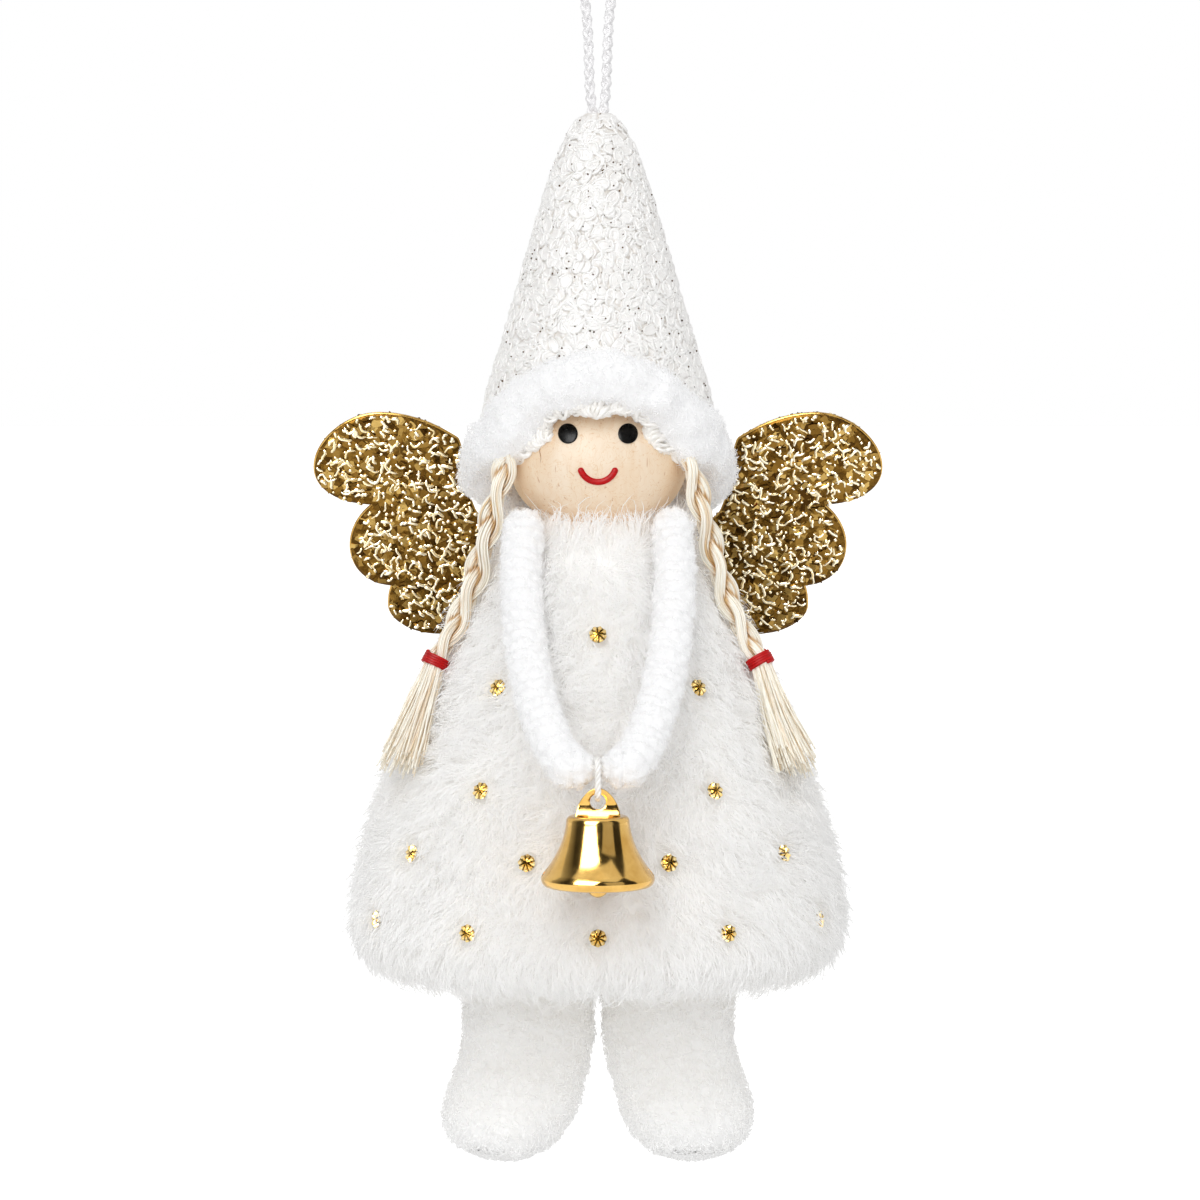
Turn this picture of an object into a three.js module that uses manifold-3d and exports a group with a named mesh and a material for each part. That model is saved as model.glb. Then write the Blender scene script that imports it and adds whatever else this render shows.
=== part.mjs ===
// Hanging angel ornament in millimetres: it faces -Y and its own left is +X.
// Heights are built up from the dress hem at z = 0, then all is lowered so that the hanging point is the origin.
import * as THREE from "three";
import { mergeVertices } from "three/addons/utils/BufferGeometryUtils.js";
import Module from "manifold-3d";

const wasm = await Module();
wasm.setup();

const GAP = 0.3; // between pieces that touch
const SIDES = { left: 1, right: -1 };

// Dress: a cone of fur cloth with its hem rolled under, on a base disc
const HEM_R = 40.5;
const SKIRT_R = 47.5;
const SKIRT_Z = 9;
const COLLAR_R = 15.5;
const COLLAR_Z = 88.5;
const DRESS_CURVE = 1.5;
const DRESS_CLOTH = 3;
const NECK_R = 8;
const COLLAR_LIP = 1;
const BASE_Z = 5;
const BASE_T = 1.6;
const DRESS_SEGMENTS = 28;

// Sequins sewn in rows: height on the dress and azimuths from the front, mirrored to both sides
const SEQUIN_R = 1.6;
const SEQUIN_T = 0.4;
const SEQUIN_PEAK = 0.3;
const SEQUIN_ROWS = [
  { z: 67.1, azimuths: [0] },
  { z: 56.7, azimuths: [35.6] },
  { z: 37.4, azimuths: [33, 147] },
  { z: 24.5, azimuths: [17.4, 52.6, 127.4, 162.6] },
  { z: 10.8, azimuths: [0, 31.3, 64, 116, 148.7, 180] },
];

// Head: an oblate wooden ball sunk into the collar, with a painted face
const HEAD_R = 17.8;
const HEAD_HALF_H = 14.5;
const HEAD_SINK = 2.6;
const HEAD_FORWARD = 2.5;
const PAINT_T = 0.4;
const EYE_R = 1.9;
const EYE_X = 5.9;
const EYE_RISE = 5.9;
const SMILE_HALF_W = 3.3;
const SMILE_SAG = 2.2;
const SMILE_LINE = 1.1;
const SMILE_BELOW = 1.3;

// Hat: a blunt cone of cloth with a fluffy roll round its edge, arched over the face
const HAT_EASE = 8.7;
const HAT_H = 76;
const HAT_TIP = 1.2;
const HAT_TAPER = 0.55;
const HAT_CLOTH = 1.2;
const TRIM_R = 5.7;
const TRIM_INSET = 2.8;
const TRIM_BELOW_HEAD = 6.4;
const TRIM_RISE = 22.2;
const TRIM_FALL = THREE.MathUtils.degToRad(125);
const TRIM_SHAPE = 0.75;
const TRIM_EDGE = 0.5;

// Hanging cord: two strands from a knot in the hat's tip to a loop
const CORD_R = 1.1;
const KNOT_R = 3.3;
const KNOT_HALF_H = 2.4;
const LOOP_LENGTH = 36.5;
const LOOP_R = 4.5;
const LOOP_NARROW = 2.35;

// Arms: fluffy rolls that follow an arc from the shoulders to the joined hands
const ARM_R = 4.1;
const HAND_R = 3.7;
const ARM_SPREAD = 15;
const ELBOW_Z = 80;
const HAND_Z = 44.3;
const SHOULDER_ANGLE = THREE.MathUtils.degToRad(-15);
const HAND_SPACE = 1.9;
const HAND_STRAIGHT = 1;

// Stitch between the hands, and the loop of thread that hangs the bell on it
const STITCH_R = 0.5;
const STITCH_HALF_L = 3.2;
const STITCH_FORWARD = 2;
const STITCH_RISE = 0.3;
const THREAD_R = 0.65;
const THREAD_BEND_R = 1.55;
const THREAD_DROP = 4.3;

// Bell: turned shell, a tab hanger through its crown, and a clapper in the tab's tail
const BELL_R = 10.8;
const BELL_H = 13.5;
const BELL_WALL = 0.8;
const CROWN_R = 6;
const CROWN_ROUND = 1;
const BELL_GAP = 1.3;
const TAB_T = 0.9;
const TAB_HALF_W = 4.3;
const TAB_HOLE_R = 1.5;
const TAB_BRIDGE = 1.1;
const TAB_FOOT = 1.2;
const TAIL_HALF_W = 1.7;
const TAIL_L = 4.2;
const EYE_HOLE_R = 0.9;
const CLAPPER_WIRE_R = 0.4;
const CLAPPER_RING_R = 1.5;
const CLAPPER_BALL_R = 2.1;
const CLAPPER_SHOW = 2.1;

// Plaits: three strands each, tied and left loose as a tassel
const PLAIT_STRAND_R = 1.3;
const PLAIT_SWAY = 1.3;
const PLAIT_DEPTH = 0.8;
const PLAIT_TURNS = 2.5;
const PLAIT_HEAD_AZIMUTH = THREE.MathUtils.degToRad(59);
const PLAIT_SIDE_AZIMUTH = THREE.MathUtils.degToRad(69.5);
const PLAIT_SIDE_Z = 73;
const TIE_Z = 60;
const TIE_R = 2.75;
const TIE_THREAD_R = 0.35;
const TIE_PITCH = 1.15;
const TIE_TURNS = 2;
const TASSEL_TOP_R = 2.2;
const TASSEL_HALF_W = 4.4;
const TASSEL_HALF_T = 2.4;
const TASSEL_END_Z = 40.5;
const TASSEL_AZIMUTH = THREE.MathUtils.degToRad(62.5);

// Wings: one flat piece on the back of the dress; each outline point is out from the middle and up the piece
const WING_T = 2;
const WING_SEAT_Z = 70;
const WING_FOOT_Z = 63;
const WING_SINK = { x: 0, y: 6 };
const WING_LOW = { x: 33, y: 0 };
const WING_LOWER_LOBE = { x: 42.9, y: 6.6 };
const WING_LOWER_NOTCH = { x: 42.1, y: 11.6 };
const WING_MIDDLE_LOBE = { x: 50.4, y: 20.8 };
const WING_UPPER_NOTCH = { x: 45.4, y: 30.9 };
const WING_TIP = { x: 57.2, y: 39.2 };
const WING_TOP = { x: 43.9, y: 51.8 };
const WING_INNER = { x: 28.3, y: 46 };
const WING_NECK = { x: 25, y: 29 };
const WING_MIDDLE = { x: 0, y: 21.5 };

// Legs: stuffed boots gathered at the top and strung under the base disc
const LEG_LENGTH = 43.1;
const LEG_X = 13.7;
const LEG_HALF_W = 13.2;
const LEG_HALF_D = 11.5;
const HIP_Y = -2;
const LEG_BACK = 1.8; // sets the leg's weight under its thread
const HIP_HALF_W = 10;
const HIP_EDGE_R = 1.6;
const HIP_GATHER = 10;
const FOOT_X = 18.6;
const FOOT_HALF_W = 13.4;
const FOOT_HALF_L = 16;
const FOOT_FORWARD = 5;
const FOOT_ROUND = 13;
const ANKLE_H = 26;
const INSTEP_H = 4;
const BOOT_CLOTH = 1.2;
const SOLE_H = 3;
const HIP_THREAD_R = 0.5;
const HIP_THREAD_BEND = 1;
const HIP_KNOT_R = 1;

const HEAD_Z = COLLAR_Z - HEAD_SINK + HEAD_HALF_H;
const HEAD_Y = -HEAD_FORWARD;
const HAT_R = HEAD_R + HAT_EASE;
const TRIM_BACK_Z = HEAD_Z - TRIM_BELOW_HEAD;
const HAT_TIP_Z = TRIM_BACK_Z - TRIM_EDGE + HAT_H;
const LOOP_TOP_Z = HAT_TIP_Z + LOOP_LENGTH;
const HANGING_Z = LOOP_TOP_Z - CORD_R;
const STITCH_Z = HAND_Z + STITCH_RISE;
const BELL_PIVOT_Z = STITCH_Z - THREAD_DROP - THREAD_BEND_R;
const TAB_HOLE_Z = BELL_PIVOT_Z + THREAD_R + GAP - TAB_HOLE_R;
const CROWN_Z = TAB_HOLE_Z - TAB_HOLE_R - TAB_FOOT;
const MOUTH_Z = CROWN_Z - BELL_H;
const HIP_Z = BASE_Z - GAP - HIP_EDGE_R;
const PLAIT_R = PLAIT_SWAY + PLAIT_STRAND_R;

const root = new THREE.Group();
root.position.z = -HANGING_Z;

// A geometry with shared vertices only, its faces turned outwards.
function closed(geometry) {
  geometry.deleteAttribute("normal");
  geometry.deleteAttribute("uv");
  const merged = mergeVertices(geometry, 1e-4);
  const p = merged.attributes.position;
  const index = merged.index.array;
  const [a, b, c] = [new THREE.Vector3(), new THREE.Vector3(), new THREE.Vector3()];
  let volume = 0;
  for (let i = 0; i < index.length; i += 3) {
    a.fromBufferAttribute(p, index[i]);
    b.fromBufferAttribute(p, index[i + 1]);
    c.fromBufferAttribute(p, index[i + 2]);
    volume += a.dot(b.cross(c));
  }
  if (volume < 0) {
    index.reverse();
  }
  return merged;
}

function solid(geometry) {
  const vertProperties = geometry.attributes.position.array;
  const triVerts = new Uint32Array(geometry.index.array);
  return new wasm.Manifold(new wasm.Mesh({ numProp: 3, vertProperties, triVerts }));
}

function shape(made) {
  const mesh = made.getMesh();
  const geometry = new THREE.BufferGeometry();
  geometry.setAttribute("position", new THREE.BufferAttribute(mesh.vertProperties, 3));
  geometry.setIndex(new THREE.BufferAttribute(mesh.triVerts, 1));
  return geometry;
}

function cut(geometry, ...tools) {
  return shape(tools.reduce((left, tool) => left.subtract(solid(tool)), solid(geometry)));
}

function join(...geometries) {
  return shape(geometries.map(solid).reduce((sum, next) => sum.add(next)));
}

// A closed surface through rings of equally many points, capped at both ends or looped back to the first ring.
function skin(rings, looped = false) {
  const count = rings[0].length;
  const points = rings.flat();
  const faces = [];
  const bands = looped ? rings.length : rings.length - 1;
  for (let i = 0; i < bands; i++) {
    const here = i * count;
    const next = ((i + 1) % rings.length) * count;
    for (let j = 0; j < count; j++) {
      const k = (j + 1) % count;
      faces.push(here + j, here + k, next + k, here + j, next + k, next + j);
    }
  }
  if (!looped) {
    const middle = (ring) => ring.reduce((sum, p) => sum.add(p), new THREE.Vector3()).divideScalar(count);
    const last = (rings.length - 1) * count;
    points.push(middle(rings[0]), middle(rings[rings.length - 1]));
    for (let j = 0; j < count; j++) {
      const k = (j + 1) % count;
      faces.push(k, j, points.length - 2, last + j, last + k, points.length - 1);
    }
  }
  const geometry = new THREE.BufferGeometry().setFromPoints(points);
  geometry.setIndex(faces);
  return closed(geometry);
}

function ring(count, at) {
  return Array.from({ length: count }, (_, i) => at((2 * Math.PI * i) / count));
}

function steps(count, at) {
  return Array.from({ length: count + 1 }, (_, i) => at(i / count));
}

// A turned piece about the Z axis, from (radius, height) pairs.
function turned(profile, segments) {
  const points = profile.map(([r, z]) => new THREE.Vector2(r, z));
  return closed(new THREE.LatheGeometry(points, segments).rotateX(Math.PI / 2));
}

// A tube through points with a radius at each, its section carried along without twist.
function sweep(points, radii, sides, looped = false) {
  const last = points.length - 1;
  const normal = new THREE.Vector3(0.31, 0.52, 0.79);
  const rings = points.map((p, i) => {
    const before = looped ? points[(i + last) % points.length] : points[Math.max(i - 1, 0)];
    const after = looped ? points[(i + 1) % points.length] : points[Math.min(i + 1, last)];
    const tangent = after.clone().sub(before).normalize();
    normal.addScaledVector(tangent, -normal.dot(tangent)).normalize();
    const across = tangent.clone().cross(normal);
    const out = normal.clone();
    return ring(sides, (a) =>
      p.clone().addScaledVector(out, radii[i] * Math.cos(a)).addScaledVector(across, radii[i] * Math.sin(a)),
    );
  });
  return skin(rings, looped);
}

// The same tube with rounded ends.
function roundedSweep(points, radii, sides) {
  const caps = [85, 60, 30].map(THREE.MathUtils.degToRad);
  const end = (tip, inside, r) => {
    const out = tip.clone().sub(inside).normalize();
    return caps.map((a) => [tip.clone().addScaledVector(out, r * Math.sin(a)), r * Math.cos(a)]);
  };
  const last = points.length - 1;
  const first = end(points[0], points[1], radii[0]);
  const final = end(points[last], points[last - 1], radii[last]).reverse();
  const all = [...first, ...points.map((p, i) => [p, radii[i]]), ...final];
  return sweep(all.map(([p]) => p), all.map(([, r]) => r), sides);
}

function box(w, d, h, x, y, z) {
  return closed(new THREE.BoxGeometry(w, d, h).translate(x, y, z));
}

function rodAlongX(radius, length, x, y, z, sides) {
  return closed(new THREE.CylinderGeometry(radius, radius, length, sides).rotateZ(Math.PI / 2).translate(x, y, z));
}

function rodAlongZ(radius, length, x, y, z, sides) {
  return closed(new THREE.CylinderGeometry(radius, radius, length, sides).rotateX(Math.PI / 2).translate(x, y, z));
}

function polar(radius, azimuth, z) {
  return new THREE.Vector3(radius * Math.sin(azimuth), -radius * Math.cos(azimuth), z);
}

function material(color, roughness, metalness = 0) {
  return new THREE.MeshStandardMaterial({ color, roughness, metalness });
}

const FINISH = {
  cord: () => material(0xf2f0f4, 0.6),
  cloth: () => material(0xf1eff0, 0.55),
  plush: () => material(0xf6f6f7, 0.95),
  fur: () => material(0xf2efea, 0.95),
  stuffing: () => material(0xe9e6df, 1),
  wood: () => material(0xecd0a8, 0.5),
  black: () => material(0x15110f, 0.35),
  red: () => material(0xb5141c, 0.5),
  straw: () => material(0xeadbc0, 0.75),
  gold: () => material(0xd9a441, 0.25, 1),
  glitter: () => material(0xb98a34, 0.4, 0.9),
  card: () => material(0xd8cbb4, 0.9),
};

function add(name, geometry, finish) {
  const mesh = new THREE.Mesh(geometry, finish());
  mesh.name = name;
  root.add(mesh);
}

function dressRadius(z) {
  if (z < SKIRT_Z) {
    return HEM_R + (SKIRT_R - HEM_R) * Math.sqrt(1 - ((SKIRT_Z - z) / SKIRT_Z) ** 2);
  }
  const rise = Math.min((z - SKIRT_Z) / (COLLAR_Z - SKIRT_Z), 1);
  return COLLAR_R + (SKIRT_R - COLLAR_R) * (1 - rise ** DRESS_CURVE);
}

function dressSlope(z) {
  const step = 0.05;
  return (dressRadius(z + step) - dressRadius(z - step)) / (2 * step);
}

// Radius at which a point stands a distance off the dress, measured square to it.
function clearOfDress(z, distance) {
  return dressRadius(z) + distance * Math.hypot(1, dressSlope(Math.min(z, COLLAR_Z - 1)));
}

function dressInside(z) {
  if (z < SKIRT_Z) {
    const fall = (SKIRT_Z - z) / (SKIRT_Z - DRESS_CLOTH);
    return HEM_R + (SKIRT_R - DRESS_CLOTH - HEM_R) * Math.sqrt(1 - fall ** 2);
  }
  return clearOfDress(z, -DRESS_CLOTH);
}

function headShape(grow, widthSegments, heightSegments) {
  const ball = new THREE.SphereGeometry(1, widthSegments, heightSegments).rotateX(Math.PI / 2);
  ball.scale(HEAD_R + grow, HEAD_R + grow, HEAD_HALF_H + grow).translate(0, HEAD_Y, HEAD_Z);
  return closed(ball);
}

function trimHeight(azimuth) {
  const turn = Math.min(Math.abs(Math.atan2(Math.sin(azimuth), Math.cos(azimuth))) / TRIM_FALL, 1);
  return TRIM_BACK_Z + TRIM_RISE * ((1 + Math.cos(Math.PI * turn)) / 2) ** TRIM_SHAPE;
}

function hatRadius(z) {
  const below = Math.max(HAT_TIP_Z - z, 0) + HAT_TIP;
  return HAT_R * (below / (HAT_H + HAT_TIP)) ** HAT_TAPER;
}

function trimRadius(azimuth) {
  return hatRadius(trimHeight(azimuth)) - TRIM_INSET;
}

function buildDress() {
  const low = steps(4, (t) => SKIRT_Z * (1 - Math.cos((t * Math.PI) / 2)));
  const high = steps(8, (t) => SKIRT_Z + (COLLAR_Z - SKIRT_Z) * t).slice(1);
  const outside = [...low, ...high].map((z) => [dressRadius(z), z]);
  const neck = [
    [COLLAR_R - COLLAR_LIP, COLLAR_Z + COLLAR_LIP],
    [NECK_R, COLLAR_Z + COLLAR_LIP],
    [NECK_R, COLLAR_Z - 2 * DRESS_CLOTH],
  ];
  const top = COLLAR_Z - 2 * DRESS_CLOTH;
  const insideHigh = steps(7, (t) => top + (SKIRT_Z - top) * t);
  const insideLow = steps(3, (t) => SKIRT_Z - (SKIRT_Z - DRESS_CLOTH) * Math.sin((t * Math.PI) / 2)).slice(1);
  const inside = [...insideHigh, ...insideLow].map((z) => [dressInside(z), z]);
  const profile = [...outside, ...neck, ...inside];
  add("dress", cut(turned([...profile, profile[0]], DRESS_SEGMENTS), headShape(2 * GAP, 20, 12)), FINISH.fur);

  const bottom = BASE_Z + BASE_T + 2 * HIP_KNOT_R + GAP;
  const levels = insideHigh.filter((z) => z >= bottom).map((z) => Math.min(z, top - GAP));
  const core = levels.map((z) => [dressInside(z) - GAP, z]);
  const filling = turned([[0, levels[0]], ...core, [0, levels[levels.length - 1]]], DRESS_SEGMENTS);
  add("body_filling", cut(filling, headShape(2 * GAP, 20, 12)), FINISH.stuffing);
}

function hipThreadX(side, end) {
  return side * (LEG_X + end * (HIP_HALF_W + HIP_THREAD_R + GAP + HIP_THREAD_BEND));
}

function buildBase() {
  const r = dressInside(BASE_Z) - GAP;
  const disc = turned([[0, BASE_Z], [r, BASE_Z], [r, BASE_Z + BASE_T], [0, BASE_Z + BASE_T]], DRESS_SEGMENTS);
  const holes = Object.values(SIDES).flatMap((side) =>
    [-1, 1].map((end) =>
      rodAlongZ(HIP_THREAD_R + GAP, 4 * BASE_T, hipThreadX(side, end), HIP_Y, BASE_Z, 10),
    ),
  );
  add("base_disc", cut(disc, ...holes), FINISH.card);
}

// A star-cut disc laid on the dress, its back square to the cloth.
function buildSequins() {
  const points = 8;
  const level = (r, height) =>
    ring(points, (a) => new THREE.Vector3(r * Math.cos(a), r * Math.sin(a), height));
  const star = level(SEQUIN_R, SEQUIN_T).map((p, i) => (i % 2 ? p.multiply(new THREE.Vector3(0.86, 0.86, 1)) : p));
  const back = star.map((p) => new THREE.Vector3(p.x, p.y, 0));
  const disc = skin([back, star, level(SEQUIN_R / 3, SEQUIN_T + SEQUIN_PEAK)]);
  let number = 1;
  for (const { z, azimuths } of SEQUIN_ROWS) {
    for (const degrees of azimuths) {
      const pair = degrees % 180 === 0 ? [degrees] : [degrees, -degrees];
      for (const azimuth of pair.map(THREE.MathUtils.degToRad)) {
        const out = polar(1, azimuth, -dressSlope(z)).normalize();
        const seat = polar(dressRadius(z), azimuth, z).addScaledVector(out, GAP);
        const turn = new THREE.Quaternion().setFromUnitVectors(new THREE.Vector3(0, 0, 1), out);
        const placed = disc.clone().applyQuaternion(turn).translate(seat.x, seat.y, seat.z);
        add(`sequin_${String(number).padStart(2, "0")}`, placed, FINISH.gold);
        number += 1;
      }
    }
  }
}

// Paint is the part of a thin shell over the head that lies inside an outline seen from the front.
function paint(outline) {
  const depth = HEAD_R + HEAD_FORWARD;
  const prism = new THREE.ExtrudeGeometry(outline, { depth, bevelEnabled: false, curveSegments: 8 });
  prism.rotateX(Math.PI / 2).translate(0, -HEAD_FORWARD, HEAD_Z);
  const shell = solid(headShape(GAP + PAINT_T, 56, 32)).subtract(solid(headShape(GAP, 56, 32)));
  return shape(shell.intersect(solid(closed(prism))));
}

function buildHead() {
  add("head", headShape(0, 28, 16), FINISH.wood);
  for (const [name, side] of Object.entries(SIDES)) {
    const eye = new THREE.Shape();
    eye.absarc(side * EYE_X, EYE_RISE, EYE_R, 0, 2 * Math.PI);
    add(`${name}_eye`, paint(eye), FINISH.black);
  }
  const bend = (SMILE_HALF_W ** 2 + SMILE_SAG ** 2) / (2 * SMILE_SAG);
  const swing = Math.asin(SMILE_HALF_W / bend);
  const middle = -SMILE_BELOW - SMILE_SAG + bend;
  const smile = new THREE.Shape();
  smile.absarc(0, middle, bend + SMILE_LINE / 2, -Math.PI / 2 - swing, -Math.PI / 2 + swing, false);
  smile.absarc(0, middle, bend - SMILE_LINE / 2, -Math.PI / 2 + swing, -Math.PI / 2 - swing, true);
  add("smile", paint(smile), FINISH.red);
}

function hatEdge(azimuth) {
  return trimHeight(azimuth) + TRIM_EDGE;
}

// The hat's cloth: down the outside from the cord hole to the edge and up the inside again.
function buildHat() {
  const count = 30;
  const hole = (z) =>
    ring(count, (a) =>
      new THREE.Vector3(2 * (CORD_R + GAP) * Math.sin(a), -(CORD_R + GAP) * Math.cos(a), z),
    );
  const level = (t, cloth) =>
    ring(count, (a) => {
      const z = HAT_TIP_Z - t ** 1.4 * (HAT_TIP_Z - hatEdge(a));
      return polar(hatRadius(z) - cloth, a, z);
    });
  const outside = steps(8, (t) => level(t, 0)).slice(1);
  const inside = steps(8, (t) => level(t, HAT_CLOTH)).slice(1).reverse();
  const shell = skin([hole(HAT_TIP_Z), ...outside, ...inside, hole(HAT_TIP_Z - HAT_CLOTH)], true);
  add("hat", shell, FINISH.cloth);

  const knotZ = HAT_TIP_Z - HAT_CLOTH - GAP - KNOT_HALF_H;
  const top = knotZ - KNOT_HALF_H - GAP;
  const core = steps(5, (t) =>
    ring(18, (a) => {
      const z = top - t * (top - hatEdge(a));
      return polar(hatRadius(z) - HAT_CLOTH - GAP, a, z);
    }),
  );
  const tools = [headShape(2 * GAP, 16, 10), trimShape(TRIM_R + 2 * GAP, false, 24)];
  add("hat_filling", cut(skin(core), ...tools), FINISH.stuffing);
}

// The trim's roll at a radius, with the slot that takes the hat's edge or without it.
function trimShape(radius, slotted, count) {
  const sections = ring(count, (azimuth) => {
    const z = trimHeight(azimuth);
    const r = trimRadius(azimuth);
    const wallAngle = (offset) => {
      let [low, high] = [0, Math.PI];
      for (let i = 0; i < 40; i++) {
        const a = (low + high) / 2;
        const outside = r + radius * Math.cos(a) > hatRadius(z + radius * Math.sin(a)) + offset;
        [low, high] = outside ? [a, high] : [low, a];
      }
      return low;
    };
    const from = slotted ? wallAngle(GAP) : Math.PI / 2;
    const to = slotted ? wallAngle(-HAT_CLOTH - GAP) - 2 * Math.PI : -1.5 * Math.PI;
    const roll = steps(slotted ? 11 : 9, (t) => from + (to - from) * t).map((a) =>
      polar(r + radius * Math.cos(a), azimuth, z + radius * Math.sin(a)),
    );
    if (!slotted) {
      return roll.slice(1);
    }
    const floor = hatEdge(azimuth) - GAP;
    const inner = polar(hatRadius(floor) - HAT_CLOTH - GAP, azimuth, floor);
    const outer = polar(hatRadius(floor) + GAP, azimuth, floor);
    return [...roll, inner, outer];
  });
  return skin(sections, true);
}

function cordPath() {
  const start = HAT_TIP_Z - HAT_CLOTH - GAP / 2;
  const strand = [
    [CORD_R + 0.05, start],
    [CORD_R + 0.05, HAT_TIP_Z + 0.5],
    [LOOP_NARROW - 0.8, HAT_TIP_Z + 4],
    [LOOP_NARROW, HAT_TIP_Z + 0.55 * LOOP_LENGTH],
    [LOOP_R, LOOP_TOP_Z - LOOP_R],
  ];
  const up = strand.map(([x, z]) => new THREE.Vector3(-x, 0, z));
  const bend = steps(8, (t) => {
    const a = Math.PI * (1 - t);
    return new THREE.Vector3(LOOP_R * Math.cos(a), 0, LOOP_TOP_Z - LOOP_R + LOOP_R * Math.sin(a));
  }).slice(1, -1);
  const down = strand.map(([x, z]) => new THREE.Vector3(x, 0, z)).reverse();
  return new THREE.CatmullRomCurve3([...up, ...bend, ...down], false, "centripetal");
}

function buildCord() {
  const section = new THREE.Shape();
  section.absarc(0, 0, CORD_R, 0, 2 * Math.PI);
  const cord = new THREE.ExtrudeGeometry(section, { steps: 52, curveSegments: 4, extrudePath: cordPath() });
  add("hanging_cord", closed(cord), FINISH.cord);
  const knot = new THREE.SphereGeometry(1, 12, 8).rotateX(Math.PI / 2).scale(KNOT_R, KNOT_R, KNOT_HALF_H);
  knot.translate(0, 0, HAT_TIP_Z - HAT_CLOTH - GAP - KNOT_HALF_H);
  add("cord_knot", closed(knot), FINISH.cord);
}

function bellY() {
  return -(dressRadius(MOUTH_Z) + BELL_R + BELL_GAP);
}

function buildArms() {
  const y = bellY();
  const standoff = -y - STITCH_FORWARD - clearOfDress(HAND_Z, HAND_R + GAP);
  const tip = HAND_SPACE / 2 + HAND_R;
  const handAngle = Math.acos((tip + HAND_STRAIGHT) / ARM_SPREAD);
  for (const [name, side] of Object.entries(SIDES)) {
    const radii = [];
    const path = steps(14, (t) => {
      const a = SHOULDER_ANGLE + (handAngle - SHOULDER_ANGLE) * t;
      const r = ARM_R + (HAND_R - ARM_R) * t;
      const x = ARM_SPREAD * Math.cos(a);
      const z = ELBOW_Z - (ELBOW_Z - HAND_Z) * Math.sin(a) / Math.sin(handAngle);
      const reach = Math.max(Math.sin(a), 0) ** 2 / Math.sin(handAngle) ** 2;
      const out = clearOfDress(z, r + GAP) + standoff * reach;
      radii.push(r);
      return new THREE.Vector3(side * x, -Math.sqrt(out ** 2 - (1 - reach) * x ** 2), z);
    });
    path.push(new THREE.Vector3(side * tip, path[path.length - 1].y, HAND_Z));
    radii.push(HAND_R);
    const arm = roundedSweep(path, radii, 8);
    const hole = rodAlongX(STITCH_R + GAP, 2 * (STITCH_HALF_L + GAP), 0, y, STITCH_Z, 8);
    add(`${name}_arm`, cut(arm, hole), FINISH.plush);
  }
  add("hand_stitch", rodAlongX(STITCH_R, 2 * STITCH_HALF_L, 0, y, STITCH_Z, 8), FINISH.cord);
}

function bellRadius(z) {
  const u = Math.max((CROWN_Z - CROWN_ROUND - z) / (BELL_H - CROWN_ROUND), 0);
  return CROWN_R + (BELL_R - CROWN_R) * (0.5 * u + 0.5 * u ** 3);
}

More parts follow.
